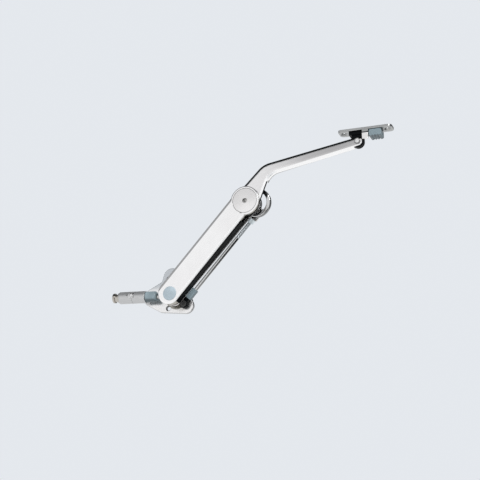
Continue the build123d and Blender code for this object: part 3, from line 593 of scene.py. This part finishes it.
@dataclass(frozen=True)
class ShadedRolledSheet(PlatedSheet):
    """A plated sheet whose edge on the upper side is rolled over and carries a painted dark
    reflection as a grey band, with painted light on its lower lip and painted shade on the head's
    rim.
    """

    BAND_SOFT: ClassVar[float] = 0.6 * MM
    SHANK_SOFT: ClassVar[float] = 1.0 * MM
    RIM_SOFT: ClassVar[float] = 0.3 * MM
    RIM_RISE: ClassVar[Range] = (-8.0 * MM, -4.0 * MM)
    LIP_START: ClassVar[Range] = (-7.0 * MM, -1.0 * MM)
    LIP_LEAN: ClassVar[Range] = (0.03, 0.2)
    LIP_RISE: ClassVar[Range] = (0.25, 0.5)
    SIDE_RISE: ClassVar[Range] = (0.01, 0.09)

    slope: float = 0.0
    band: Range = (0.0, 1.0)
    shank_end: float = 1.0
    head: float = 0.0
    head_rim: float = 1.0
    # colour of the painted dark reflection on the rolled edge
    rolled: Colour = (0.38, 0.38, 0.385)
    # colour of the painted light on the lower lip
    lip: Colour = (0.93, 0.925, 0.925)
    skirt: Colour = (0.44, 0.42, 0.38)
    # colour of the painted shade on the head's rim
    crown: Colour = (0.16, 0.16, 0.165)
    chalk: float = 0.9

    def paint(self, graph: Graph, edges: Wire) -> Sockets:
        """Paints a grey band of dark reflection by the distance from its axis; the edge on the
        other side is painted pale and non-metallic as painted light.

        Args:
            graph: the material's node tree.
            edges: 0 on flat ground, up to 1 on an edge.

        Returns:
            Values or wires of the shader's sockets, and a height.
        """
        painted = super().paint(graph, edges)
        run, climb = cos(self.slope), sin(self.slope)
        right, _, height = graph.parts(graph.place())
        along = right * run + height * climb
        off = height * run - right * climb
        on_head = along.step(self.shank_end - self.SHANK_SOFT, self.shank_end + self.SHANK_SOFT)
        # painted dark reflection: a grey band along the upper edge, off the head
        grey = off.within(*self.band, soft=self.BAND_SOFT) * (1.0 - on_head)
        across, front, up = graph.facing()
        under = across * climb - up * run
        # painted light on the lower lip
        pale = (under.step(*self.LIP_LEAN) * (-front).step(*self.LIP_RISE)
                * along.step(*self.LIP_START))
        side = 1.0 - (front * front).step(*self.SIDE_RISE)
        banded = graph.mix(grey, painted["Base Color"], self.rolled)
        lipped = graph.mix(pale, graph.mix(side, banded, self.skirt), self.lip)
        reach = (along - self.head).off_axis(off)
        # painted shade on the head's rim, away from its lower side
        rim = reach.step(self.head_rim - self.RIM_SOFT, self.head_rim + self.RIM_SOFT)
        crown = rim * on_head * off.step(*self.RIM_RISE)
        return {**painted, "Base Color": graph.mix(crown, lipped, self.crown),
                "Metallic": 1.0 - self.chalk * pale}


@dataclass(frozen=True)
class TurnedFace(Finish):
    """Satin metal turned on a lathe, with fine rings and a swirl of painted reflection about one
    axis along Y, painted shade upwards and at the rim.
    """

    SMEAR_SCALE: ClassVar[float] = 600.0
    SMEAR: ClassVar[float] = 4.0
    SWIRL_ARMS: ClassVar[float] = 2.0
    SWIRL_START: ClassVar[float] = 0.9
    SWIRL_POWER: ClassVar[float] = 1.5
    LEAN: ClassVar[float] = 0.3
    SWIRL_SHARE: ClassVar[float] = 0.2
    UPWARD_SHADE_SHARE: ClassVar[float] = 0.7
    RING_SHARE: ClassVar[float] = 0.1
    PAINTED_SHADE_TONE: ClassVar[float] = 0.72
    OUTLINE_SHADE_TONE: ClassVar[float] = 0.3
    EDGE_TONE: ClassVar[float] = 1.15
    EDGE_SHARE: ClassVar[float] = 0.5
    RING_GLOSS: ClassVar[float] = 0.05
    SMEAR_GLOSS: ClassVar[float] = 0.06

    centre: Vec = (0.0, 0.0, 0.0)
    reach: float = 1.0
    # width of the painted shade line at the rim
    outline_shade: float = 0.8 * MM
    pitch: float = 0.22 * MM
    depth: float = 1.2 * MICRON

    def paint(self, graph: Graph, edges: Wire) -> Sockets:
        """Rings from the distance to the axis, a swirl of painted reflection from the angle,
        painted shade growing upwards, and a painted shade line at the rim.

        Args:
            graph: the material's node tree.
            edges: 0 on flat ground, up to 1 on an edge.

        Returns:
            Values or wires of the shader's sockets, and the rings' height.
        """
        own = graph.moved(graph.place(), to=self.centre)
        across, _, up = graph.parts(own)
        reach = across.off_axis(up)
        smear = graph.noise(own, self.SMEAR_SCALE)
        rings = (reach * (2 * pi / self.pitch) + smear * self.SMEAR).wave()
        angle = graph.math("ARCTAN2", up, across)
        arms = (angle * self.SWIRL_ARMS + self.SWIRL_START).wave()
        # painted reflection: a two-armed swirl by the angle about the axis
        swirl = (arms * 0.5 + 0.5) ** self.SWIRL_POWER
        # painted shade that grows upwards
        upward = (up - across * self.LEAN).step(-self.reach, self.reach)
        # painted reflection and painted shade, with the turning rings, darken the colour
        painted_shade = (swirl * self.SWIRL_SHARE + upward * self.UPWARD_SHADE_SHARE
                + (rings * 0.5 + 0.5) * self.RING_SHARE)
        turned = graph.mix(painted_shade, self.colour, self.toned(self.PAINTED_SHADE_TONE))
        # painted shade line at the rim
        outline_shade = reach.step(self.reach - self.outline_shade, self.reach)
        shade = graph.mix(outline_shade, turned, self.toned(self.OUTLINE_SHADE_TONE))
        wear_and_shade = graph.mix(edges * self.EDGE_SHARE, shade, self.toned(self.EDGE_TONE))
        rough = self.roughness + self.RING_GLOSS * rings + self.SMEAR_GLOSS * (smear - 0.5)
        return {"Base Color": wear_and_shade, "Metallic": 1.0, "Roughness": rough,
                "bump": rings * self.depth}


@dataclass(frozen=True)
class MouldedPlastic(Finish):
    """Moulded plastic with a spark-eroded grain, slight colour drift, and edges toned by wear above
    an edge tone of 1 and by painted shade below it.
    """

    DRIFT_SCALE: ClassVar[float] = 60.0
    DRIFT_RISE: ClassVar[Range] = (0.3, 0.7)
    DRIFT_TONES: ClassVar[Range] = (0.86, 1.14)
    UNDER_RISE: ClassVar[Range] = (0.35, 0.75)
    UNDER_TONE: ClassVar[float] = 0.2
    EDGE_TONE_LIFT: ClassVar[float] = 0.01
    GRAIN_GLOSS: ClassVar[float] = 0.12
    EDGE_GLOSS: ClassVar[float] = 0.06

    grain: float = 2200.0
    depth: float = 5.0 * MICRON
    rub_and_shade: float = 0.35
    # edge tone: above 1 the edges are lightened by wear, below 1 they get painted shade
    wear_and_shade: float = 1.5
    under: float = 0.0
    sheen: float = 0.5

    def paint(self, graph: Graph, edges: Wire) -> Sockets:
        """Grain as relief and gloss, drift in the colour, edges toned by wear and by painted shade,
        a shaded underside.

        Args:
            graph: the material's node tree.
            edges: 0 on flat ground, up to 1 on an edge.

        Returns:
            Values or wires of the shader's sockets, and the grain's height.
        """
        place = graph.place()
        grain = graph.noise(place, self.grain, detail=3.0, roughness=0.6)
        drift = graph.noise(place, self.DRIFT_SCALE).step(*self.DRIFT_RISE)
        dark, pale = (self.toned(tone) for tone in self.DRIFT_TONES)
        # edges lightened by wear, and darkened as painted shade where the edge tone is below 1
        rubbed_and_shaded = graph.mix(edges * self.rub_and_shade, graph.mix(drift, dark, pale),
                           self.toned(self.wear_and_shade, self.EDGE_TONE_LIFT))
        down = (-graph.facing()[2]).step(*self.UNDER_RISE)
        shaded = graph.mix(down * self.under, rubbed_and_shaded, self.toned(self.UNDER_TONE))
        rough = self.roughness + self.GRAIN_GLOSS * (grain - 0.5) - self.EDGE_GLOSS * edges
        return {"Base Color": shaded, "Roughness": rough, "bump": grain * self.depth,
                "Specular IOR Level": self.sheen}


@dataclass(frozen=True)
class PlatedZinc(Finish):
    """Bluish zinc plate with a crystal bloom."""

    CELL_SCALE: ClassVar[float] = 900.0
    CLOUD_SCALE: ClassVar[float] = 240.0
    BLOOM_RISE: ClassVar[Range] = (0.25, 0.75)
    EDGE_SHARE: ClassVar[float] = 0.6
    CELL_GLOSS: ClassVar[float] = 0.12
    CLOUD_GLOSS: ClassVar[float] = 0.08

    bloom: Colour = (0.62, 0.72, 0.78)
    rubbed_and_shaded: Colour = (0.86, 0.87, 0.88)
    metal: float = 0.35
    depth: float = 1.0 * MICRON

    def paint(self, graph: Graph, edges: Wire) -> Sockets:
        """Puts crystal cells and a cloud in the tint and in the gloss.

        Args:
            graph: the material's node tree.
            edges: 0 on flat ground, up to 1 on an edge.

        Returns:
            Values or wires of the shader's sockets, and the cloud's height.
        """
        place = graph.place()
        cells = graph.node("ShaderNodeTexVoronoi", None,
                           {"Vector": place, "Scale": self.CELL_SCALE}).out("Color")
        cell = graph.parts(cells)[0]
        cloud = graph.noise(place, self.CLOUD_SCALE, detail=3.0)
        bloom = (cell * 0.5 + cloud * 0.5).step(*self.BLOOM_RISE)
        base = graph.mix(bloom, self.colour, self.bloom)
        wear_and_shade = graph.mix(edges * self.EDGE_SHARE, base, self.rubbed_and_shaded)
        rough = (self.roughness + self.CELL_GLOSS * (cell - 0.5)
                 + self.CLOUD_GLOSS * (cloud - 0.5))
        return {"Base Color": wear_and_shade, "Metallic": self.metal, "Roughness": rough,
                "bump": cloud * self.depth}


class Grain(Enum):
    """Which way the fine lines of a drawn or rolled piece run, as turns about each axis."""

    LOWER_ARM = (0.0, radians(-48.0), 0.0)
    UPPER_ARM = (0.0, radians(-10.3), 0.0)
    BARREL = (0.0, radians(2.2), 0.0)


def joint(name: str) -> dict[str, Any]:
    """A joint of the frame by its name."""
    return next(found for found in frame["joints"] if found["name"] == name)


def joint_place(name: str) -> np.ndarray:
    """Where a joint's axis is, in metres."""
    return np.array(joint(name)["pos_m"], float)


def joint_axis(name: str) -> np.ndarray:
    """A joint's direction, of length 1."""
    axis = np.array(joint(name)["axis"], float)
    return axis / np.linalg.norm(axis)


def node_points(name: str) -> np.ndarray:
    """A node's vertices at rest.

    Args:
        name: the node.

    Returns:
        An array of points, in metres.
    """
    mesh = frame["nodes"][name].data
    points = np.empty(len(mesh.vertices) * 3, np.float32)
    mesh.vertices.foreach_get("co", points)
    return points.reshape(-1, 3).astype(float)


def span(name: str, origin: np.ndarray, direction: np.ndarray) -> Range:
    """How far a node reaches along a line.

    Args:
        name: the node.
        origin: where the count starts.
        direction: the line's direction, of length 1.

    Returns:
        The lowest and highest place along the line.
    """
    along = (node_points(name) - origin) @ direction
    return float(along.min()), float(along.max())


def cross_pair(direction: np.ndarray) -> tuple[np.ndarray, np.ndarray]:
    """Two directions at right angles to a line that lies in the XZ plane."""
    side = np.array([0.0, -1.0, 0.0])
    return side, np.cross(direction, side)


def ring_faces(rows: int, columns: int) -> np.ndarray:
    """Quads between rings: a point, the next in its ring, and the same two a ring further.

    Args:
        rows: number of rings.
        columns: number of points in a ring.

    Returns:
        Four indices a face, facing outwards where the rings turn counter-clockwise about the path.
    """
    row, column = np.meshgrid(np.arange(rows - 1), np.arange(columns), indexing="ij")
    this, after = row * columns, (column + 1) % columns
    above = this + columns
    corners = [this + column, this + after, above + after, above + column]
    return np.stack(corners, axis=-1).reshape(-1, 4)


def tube_mesh(name: str, rings: np.ndarray) -> bpy.types.Object:
    """Makes a closed tube from rings of points, with a fan about the middle of each end ring.

    Args:
        name: the piece's name.
        rings: an array of rings, points and coordinates.

    Returns:
        The piece, linked to the scene.
    """
    rows, columns = rings.shape[:2]
    middles = [rings[:1].mean(axis=1), rings[-1:].mean(axis=1)]
    points = np.concatenate([rings.reshape(-1, 3), *middles])
    turn = np.arange(columns)
    after = (turn + 1) % columns
    last, count = (rows - 1) * columns, rows * columns
    start_fan = np.stack([after, turn, np.full(columns, count)], axis=-1)
    end_fan = np.stack([last + turn, last + after, np.full(columns, count + 1)], axis=-1)
    faces = ring_faces(rows, columns).tolist() + start_fan.tolist() + end_fan.tolist()
    mesh = bpy.data.meshes.new(name)
    mesh.from_pydata(points.tolist(), [], faces)
    mesh.polygons.foreach_set("use_smooth", np.ones(len(faces), bool))
    mesh.update()
    piece = bpy.data.objects.new(name, mesh)
    bpy.context.scene.collection.objects.link(piece)
    return piece


class Assembly(ABC):
    """A group of pieces that is built and dressed together."""

    @abstractmethod
    def finishes(self) -> dict[str, Finish]:
        """The finish of each CAD node in the group."""

    def build(self) -> None:
        """Makes the new pieces of the group; most groups have none."""

    def dress(self) -> None:
        """Gives each node of the group its material."""
        for name, finish in self.finishes().items():
            slots = frame["nodes"][name].data.materials
            slots.clear()
            slots.append(finish.make())
            log.info("%s dressed in %s", name, finish.name)


NICKEL = PlatedSheet("nickel_plate", (0.78, 0.78, 0.78), 0.40, cloud=(0.72, 0.72, 0.72), metal=0.5)
REAR_NICKEL = PlatedSheet("rear_nickel", (0.90, 0.895, 0.89), 0.26, along=Grain.LOWER_ARM.value)
CHROME = PlatedSheet("bright_nickel", (0.80, 0.81, 0.81), 0.09, cloud=(0.78, 0.79, 0.80),
                     lines=0.1, along=Grain.LOWER_ARM.value, depth=0.1 * MICRON)
SCREW = PlatedSheet("screw_nickel", (0.52, 0.495, 0.46), 0.16, cloud=(0.46, 0.44, 0.41),
                    long_scale=1.0)
DARK_STEEL = PlatedSheet("dark_steel", (0.12, 0.12, 0.12), 0.42, cloud=(0.09, 0.09, 0.09),
                         long_scale=1.0)
STEEL = PlatedSheet("turned_steel", (0.60, 0.60, 0.59), 0.28, cloud=(0.56, 0.55, 0.54),
                    long_scale=1.0)
THREAD = PlatedSheet("cut_thread", (0.40, 0.43, 0.45), 0.24, cloud=(0.34, 0.37, 0.39),
                     long_scale=1.0)
SPRING_STEEL = PlatedSheet("oiled_spring_steel", (0.42, 0.42, 0.43), 0.24,
                           cloud=(0.34, 0.33, 0.32), long_scale=1.0)
ZINC = PlatedZinc("blue_zinc", (0.70, 0.76, 0.78), 0.30)
BLACK = MouldedPlastic("moulded_black", (0.003, 0.004, 0.005), 0.38, sheen=0.06)
# edge tones below 1 give these plastics painted shade on their edges; under gives a painted shaded
# underside
CAP_GREY = MouldedPlastic("cap_blue_grey", (0.475, 0.565, 0.62), 0.42, edge=0.9 * MM, rub_and_shade=0.4,
                          wear_and_shade=0.4)
COLLAR_GREY = MouldedPlastic("collar_blue_grey", (0.285, 0.365, 0.40), 0.38, edge=1.0 * MM,
                             rub_and_shade=0.8, wear_and_shade=0.3, under=0.8)
DARK_GREY = MouldedPlastic("blue_grey_plastic", (0.215, 0.28, 0.31), 0.38, edge=0.7 * MM,
                           rub_and_shade=0.6, wear_and_shade=0.4, under=0.5)
BEARING = MouldedPlastic("white_bearing", (0.80, 0.79, 0.75), 0.38, rub_and_shade=0.1)
LINING = MouldedPlastic("brown_lining", (0.24, 0.15, 0.09), 0.75, grain=1200.0,
                        depth=15.0 * MICRON, rub_and_shade=0.1)


@dataclass
class MountingPlate(Assembly):
    """The mounting plate and the two pins that stand on it."""

    hub_ring: float = 13.0 * MM
    arm_shadow_from: Range = (6.0 * MM, 15.0 * MM)

    def finishes(self) -> dict[str, Finish]:
        """Dresses the plate in plating with painted shadows and painted side shade, and the pins in
        steel.

        Returns:
            The finish of each CAD node.
        """
        # painted shadow in a ring about the hub and behind the arm, painted shade on the plate's
        # sides
        plate = PaintedShadowSheet("mounting_nickel", (0.985, 0.98, 0.98), 0.20,
                             cloud=(0.94, 0.935, 0.935), metal=0.85,
                             ring=self.hub_ring, arm_shadow_from=self.arm_shadow_from)
        return {"mounting_plate": plate, "pivot_stud": STEEL, "tie_pin_lower": DARK_STEEL}


@dataclass
class SpringBarrel(Assembly):
    """The barrel with its holder, plunger, preload screw and nut, and a wound spring.

    The wound spring stands in place of the plain coil. The barrel's wall and window are measured
    from its axis and from the preload screw's place.
    """

    turns: float = 8.0
    dead_turns: float = 1.0
    wire: float = 0.55 * MM
    coil: float = 3.35 * MM
    seat: float = 1.13 * MM
    still: float = 0.68
    steps_a_turn: int = 48
    sides: int = 14
    wall: Range = (5.6 * MM, 6.0 * MM)
    window: Range = (13.4 * MM, 21.0 * MM)
    axis: np.ndarray = field(default_factory=lambda: joint_axis("plunger_slide"))
    origin: np.ndarray = field(default_factory=lambda: joint_place("preload_turn"))

    def finishes(self) -> dict[str, Finish]:
        """Dresses the barrel and the screw in nickel and the holder in plastic.

        Returns:
            The finish of each CAD node.
        """
        # painted light in the bore behind the window
        tube = DrawnTube("barrel_nickel", (0.59, 0.595, 0.60), 0.36, cloud=(0.55, 0.56, 0.57),
                         lines=0.3, along=Grain.BARREL.value, metal=0.8,
                         centre=tuple(self.origin), wall=self.wall, window=self.window)
        return {"barrel_holder": COLLAR_GREY, "spring_barrel": tube, "preload_screw": SCREW,
                "preload_nut": NICKEL, "plunger": STEEL, "barrel_spring": SPRING_STEEL}

    def rise(self, low: float, high: float) -> tuple[np.ndarray, np.ndarray]:
        """Where the wire is along the axis.

        The place grows by a seat's height on each dead turn and evenly between them.

        Args:
            low: the place of the first point.
            high: the place of the last point.

        Returns:
            The turns at which the wire is worked out, and the place at each.
        """
        turn = np.linspace(0.0, self.turns, int(self.turns * self.steps_a_turn) + 1)
        marks = [0.0, self.dead_turns, self.turns - self.dead_turns, self.turns]
        return turn, np.interp(turn, marks, [low, low + self.seat, high - self.seat, high])

    def build(self) -> None:
        """Winds the spring: a circle carried along a helix with nearly flat end turns.

        A point of the path lies at the coil's radius, turned by 2 pi t for the turn t, at the place
        that rise gives; the circle of the wire lies in the plane across the path's direction. The
        spring is made in two lengths that meet where it stands still; in the real fitting one end
        moves with the plunger and the other with the nut.
        """
        low, high = span("barrel_spring", self.origin, self.axis)
        low, high = low + self.wire, high - self.wire
        turn, rise = self.rise(low, high)
        side, up = cross_pair(self.axis)
        angle = 2 * np.pi * turn[:, None]
        out = np.cos(angle) * side + np.sin(angle) * up
        path = self.origin + rise[:, None] * self.axis + self.coil * out
        tangent = np.gradient(path, axis=0)
        tangent /= np.linalg.norm(tangent, axis=1, keepdims=True)
        across = np.cross(tangent, out)
        around = np.linspace(0.0, 2 * np.pi, self.sides, endpoint=False)[None, :, None]
        circle = np.cos(around) * out[:, None] + np.sin(around) * across[:, None]
        rings = path[:, None] + self.wire * circle
        middle = low + self.still * (high - low)
        split = int(np.searchsorted(rise, middle))
        self.length("spring_plunger_end", rings[:split + 1], "plunger", middle, low + self.seat)
        self.length("spring_nut_end", rings[split:], "preload_nut", middle, high - self.seat)

    def length(self, name: str, rings: np.ndarray, body: str, start: float, end: float) -> None:
        """Makes one length of the spring.

        Args:
            name: the piece's name.
            rings: the wire's rings of points.
            body: not used.
            start: the place along the axis that stands still.
            end: the place a seat's height in from the length's outer end.
        """
        piece = tube_mesh(name, rings)
        piece.data.materials.append(SPRING_STEEL.make())
        still, moved = self.origin + start * self.axis, self.origin + end * self.axis
        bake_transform(piece)
        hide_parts("barrel_spring")
        faces, size = len(piece.data.polygons), abs(end - start) / MM
        log.info("%s built, %d faces, %.1f mm long", name, faces, size)


@dataclass
class LowerArm(Assembly):
    """Front and rear plates on the core, with hub, caps and brake."""

    band: Range = (11.5 * MM, 12.2 * MM)
    shank_end: float = 115.0 * MM
    head_rim: float = 14.6 * MM
    cap_reach: float = 13.4 * MM

    def finishes(self) -> dict[str, Finish]:
        """Dresses the plates in near-white nickel, the core in black and the elbow cap in satin.

        Returns:
            The finish of each CAD node.
        """
        elbow = joint_place("elbow_pivot")
        way = elbow - joint_place("lower_pivot")
        # a swirl of painted reflection, and painted shade upwards and at the rim
        cap = TurnedFace("turned_elbow_cap", (0.99, 0.98, 0.98), 0.30, centre=tuple(elbow),
                         reach=self.cap_reach)
        # painted dark reflection band, painted light on the lip and painted shade on the head's rim
        plate = ShadedRolledSheet("arm_nickel", (0.985, 0.985, 0.99), 0.20, cloud=(0.95, 0.945, 0.95),
                            along=Grain.LOWER_ARM.value, slope=float(np.arctan2(way[2], way[0])),
                            band=self.band, shank_end=self.shank_end,
                            head=float(np.hypot(way[0], way[2])), head_rim=self.head_rim)
        return {"front_plate": plate, "rear_plate": REAR_NICKEL, "arm_core": BLACK,
                "arm_studs": STEEL, "hub_cam": STEEL, "hub_rivets": STEEL,
                "pivot_bush": BEARING, "pivot_cap": CAP_GREY, "elbow_cap": cap,
                "friction_washer": LINING, "disc_spring": SPRING_STEEL}


@dataclass
class LevelDisc(Assembly):
    """The control disc on the elbow pin, with the upper tie pin."""

    soft_edge: float = 0.25 * MM

    def finishes(self) -> dict[str, Finish]:
        """Dresses the disc in bright nickel with painted shade on its cut sides and the pins in
        steel.

        Returns:
            The finish of each CAD node.
        """
        # painted shade on the disc's sides
        hoop = SideShadedSheet("hoop_nickel", (0.62, 0.625, 0.63), 0.12, edge=self.soft_edge,
                        cloud=(0.66, 0.67, 0.68), lines=0.1, depth=0.1 * MICRON,
                        side_shade=(0.20, 0.205, 0.21))
        return {"control_disc": hoop, "elbow_pin": STEEL, "tie_pin_upper": STEEL}


@dataclass
class TieRod(Assembly):
    """The tie rod from the plate's pin to the control disc, with a cut thread below the nut."""

    pitch: float = 1.6 * MM
    root: float = 1.7 * MM
    crest: float = 2.05 * MM
    ridge_power: float = 0.7
    run_out: float = 0.64 * MM
    steps_a_pitch: int = 12
    sides: int = 36

    def finishes(self) -> dict[str, Finish]:
        """The bright tube, plastic eye and sleeve, steel stud and zinc nut."""
        return {"tie_tube": CHROME, "tie_eye": BLACK, "tie_sleeve": DARK_GREY,
                "tie_stud": STEEL, "tie_nut": ZINC}

    def build(self) -> None:
        """Cuts the thread: a tube whose radius is a rounded ridge that winds about it.

        The radius is root + (crest - root) * h, with h the ridge power of half of
        1 + cos(2 pi (s / pitch - turn)) for the place s along the tube and the turn about it, and
        it eases to the root over the run-out at both ends.
        """
        low_pin, pivot = joint_place("tie_pivot"), joint_place("lower_pivot")
        direction = joint_place("elbow_pivot") - pivot
        direction[1] = 0.0
        direction /= np.linalg.norm(direction)
        start = span("tie_tube", low_pin, direction)[1]
        end = span("tie_nut", low_pin, direction)[0]
        rows = int((end - start) / self.pitch * self.steps_a_pitch) + 1
        along = np.linspace(start, end, rows)[:, None]
        around = np.linspace(0.0, 2 * np.pi, self.sides, endpoint=False)[None, :]
        swing = np.cos(2 * np.pi * along / self.pitch - around)
        ridge = (0.5 + 0.5 * swing) ** self.ridge_power
        ease = np.clip(np.minimum(along - start, end - along) / self.run_out, 0.0, 1.0)
        radius = self.root + (self.crest - self.root) * ridge * ease
        side, up = cross_pair(direction)
        out = np.cos(around)[..., None] * side + np.sin(around)[..., None] * up
        rings = low_pin + along[..., None] * direction + radius[..., None] * out
        piece = tube_mesh("tie_thread", rings)
        piece.data.materials.append(THREAD.make())
        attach(piece, "tie_rod")
        log.info("tie_thread built, %d faces", len(piece.data.polygons))


@dataclass
class UpperArm(Assembly):
    """The cranked channel with its insert and the flap pin."""

    soft_edge: float = 0.6 * MM
    # where the painted shade along the face starts and where it is full
    shade_after_elbow: float = 5.0 * MM
    shade_before_flap: float = 29.0 * MM
    back_edge_shade_width: float = 1.2 * MM
    eye_ring: Range = (2.5 * MM, 3.2 * MM)
    pin_reach: float = 2.5 * MM
    pin_outline_shade: float = 0.7 * MM

    def finishes(self) -> dict[str, Finish]:
        """Dresses the channel and the pin in satin nickel and the insert in black.

        Returns:
            The finish of each CAD node.
        """
        elbow, flap = joint_place("elbow_pivot"), joint_place("flap_pivot")
        # the painted shade runs along the face between these places
        shade_ramp = (float(elbow[0]) + self.shade_after_elbow, float(flap[0]) - self.shade_before_flap)
        # a swirl of painted reflection, and painted shade upwards and at the rim
        pin = TurnedFace("turned_flap_pin", (0.97, 0.97, 0.97), 0.30, centre=tuple(flap),
                         reach=self.pin_reach, outline_shade=self.pin_outline_shade)
        # painted dark reflection on top, painted shade along the face, on rims and at the back edge
        satin = BrushedPressing("satin_nickel", (0.98, 0.975, 0.98), 0.32, edge=self.soft_edge,
                                cloud=(0.94, 0.93, 0.94), lines=0.5, along=Grain.UPPER_ARM.value,
                                depth=1.0 * MICRON, shade_ramp=shade_ramp, eye=tuple(flap),
                                back_edge_shade=float(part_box("upper_arm")[1][1]) - self.back_edge_shade_width,
                                eye_ring=self.eye_ring)
        return {"upper_arm": satin, "elbow_insert": BLACK, "flap_pin": pin}


@dataclass
class FlapBracket(Assembly):
    """The end bracket with its saddle and lock slider; its lug is measured from the flap pin."""

    lug_left: float = 5.2 * MM
    lug_right: float = 11.8 * MM
    bend_height: float = 8.6 * MM

    def finishes(self) -> dict[str, Finish]:
        """Dresses the base in nickel, the saddle in black and the slider in blue-grey.

        Returns:
            The finish of each CAD node.
        """
        across, _, up = (float(place) for place in joint_place("flap_pivot"))
        # painted shade line at the lug's bend and painted light below it
        base = BentPlate("flap_nickel", (0.46, 0.47, 0.47), 0.30, cloud=(0.40, 0.41, 0.41),
                         lug=(across + self.lug_left, across + self.lug_right),
                         bend=up + self.bend_height)
        return {"flap_base": base, "flap_saddle": BLACK, "flap_bush": BEARING,
                "lock_slider": DARK_GREY}


@dataclass
class Studio:
    """Floor, world, lamp and camera."""

    floor_drop: float = 0.60
    floor_half: float = 6.0
    floor_tints: tuple[Colour, Colour] = ((0.80, 0.81, 0.82), (0.84, 0.845, 0.85))
    floor_roughness: float = 0.7
    speckle_scale: float = 9.0
    dark_floor: Colour = (0.02, 0.022, 0.025)
    dark_across: Range = (0.75, 1.5)
    dark_soft: float = 0.4
    dark_back: Range = (0.9, 1.3)
    backdrop: Colour = (0.78, 0.81, 0.85)
    soft_light: Colour = (0.80, 0.81, 0.82)
    low_sides: Colour = (0.93, 0.93, 0.935)
    high_sides: Colour = (0.30, 0.305, 0.31)
    overhead: Colour = (0.03, 0.035, 0.04)
    zenith: Colour = (0.70, 0.71, 0.72)
    overhead_lean: Range = (0.3, 0.5)
    sides_rise: Range = (-0.2, 0.2)
    overhead_rise: Range = (0.4, 0.65)
    zenith_rise: Range = (0.9, 0.97)
    key_place: Vec = (0.9, -1.0, 0.9)
    key_aim: Vec = (0.08, 0.0, 0.06)
    key_size: float = 0.5
    key_power: float = 9.0
    yaw: float = radians(20.24)
    pitch: float = radians(16.06)
    eye: Vec = (0.4612, -1.0614, -0.2691)
    focal_pixels: float = 1122.0
    image_pixels: float = 480.0
    sensor: float = 36.0

    def floor_paint(self) -> bpy.types.Material:
        """Makes the floor's material: pale, with a dim stretch that only metal shows.

        Returns:
            The material.
        """
        paint = bpy.data.materials.new("pale_floor")
        paint.use_nodes = True
        graph = Graph(paint.node_tree)
        place = graph.place()
        base = graph.mix(graph.noise(place, self.speckle_scale, detail=3.0), *self.floor_tints)
        plain = {"Base Color": base, "Roughness": self.floor_roughness}
        shader = graph.node("ShaderNodeBsdfPrincipled", None, plain)
        right, back, _ = graph.parts(place)
        near = 1.0 - back.step(*self.dark_back)
        shade = right.within(*self.dark_across, soft=self.dark_soft) * near
        glow = {"Color": graph.mix(shade, WHITE, self.dark_floor), "Strength": 1.0}
        lit = graph.node("ShaderNodeEmission", None, glow)
        mirrored = graph.node("ShaderNodeLightPath").out("Is Glossy Ray")
        shown = {0: mirrored, 1: shader.out(), 2: lit.out()}
        both = graph.node("ShaderNodeMixShader", None, shown)
        graph.node("ShaderNodeOutputMaterial", None, {"Surface": both.out()})
        return paint

    def floor(self) -> None:
        """Lays the floor as one square."""
        half, level = self.floor_half, -self.floor_drop
        corners = [(x * half, y * half, level) for x, y in ((-1, -1), (1, -1), (1, 1), (-1, 1))]
        mesh = bpy.data.meshes.new("floor")
        mesh.from_pydata(corners, [], [(0, 1, 2, 3)])
        mesh.materials.append(self.floor_paint())
        obj = bpy.data.objects.new("floor", mesh)
        bpy.context.scene.collection.objects.link(obj)

    def world(self) -> None:
        """Pale all round, with a dim region overhead that only metal shows."""
        made = bpy.data.worlds.new("studio")
        bpy.context.scene.world = made
        made.use_nodes = True
        graph = Graph(made.node_tree)
        right, back, height = graph.parts(graph.node("ShaderNodeTexCoord").out("Generated"))
        lean, tip = self.overhead_lean
        above = height + back.at_most(0.0) * tip + right * lean
        sides = graph.mix(above.step(*self.sides_rise), self.low_sides, self.high_sides)
        dim = graph.mix(above.step(*self.overhead_rise), sides, self.overhead)
        metal = graph.mix(height.step(*self.zenith_rise), dim, self.zenith)
        path = graph.node("ShaderNodeLightPath")
        mirrored = path.out("Is Glossy Ray").at_least(path.out("Is Transmission Ray"))
        soft = graph.mix(mirrored, self.soft_light, metal)
        colour = graph.mix(path.out("Is Camera Ray"), soft, self.backdrop)
        shader = graph.node("ShaderNodeBackground", None, {"Color": colour, "Strength": 1.0})
        graph.node("ShaderNodeOutputWorld", None, {"Surface": shader.out()})

    def lamp(self) -> None:
        """Hangs one soft square lamp."""
        data = bpy.data.lights.new("key", "AREA")
        data.size, data.energy = self.key_size, self.key_power
        obj = bpy.data.objects.new("key", data)
        obj.location = self.key_place
        way = Vector(self.key_aim) - Vector(self.key_place)
        obj.rotation_euler = way.to_track_quat("-Z", "Y").to_euler()
        bpy.context.scene.collection.objects.link(obj)

    def camera(self) -> None:
        """Stands the camera where the photograph was taken from, low and to the right."""
        data = bpy.data.cameras.new("camera")
        data.sensor_width = self.sensor
        data.lens = self.focal_pixels * self.sensor / self.image_pixels
        obj = bpy.data.objects.new("camera", data)
        obj.location = self.eye
        obj.rotation_euler = (pi / 2 + self.pitch, 0.0, self.yaw)
        bpy.context.scene.collection.objects.link(obj)
        bpy.context.scene.camera = obj

    def build(self) -> None:
        """Sets up everything that is not the object."""
        bpy.context.scene.view_settings.view_transform = "Standard"
        self.floor()
        self.world()
        self.lamp()
        self.camera()


def main() -> None:
    """Builds and dresses every group, then the studio."""
    logging.basicConfig(level=logging.INFO, format="%(name)s: %(message)s")
    groups: list[Assembly] = [MountingPlate(), SpringBarrel(), LowerArm(), LevelDisc(),
                              TieRod(), UpperArm(), FlapBracket()]
    for group in groups:
        group.build()
        group.dress()
    Studio().build()


if __name__ == "__main__":
    main()
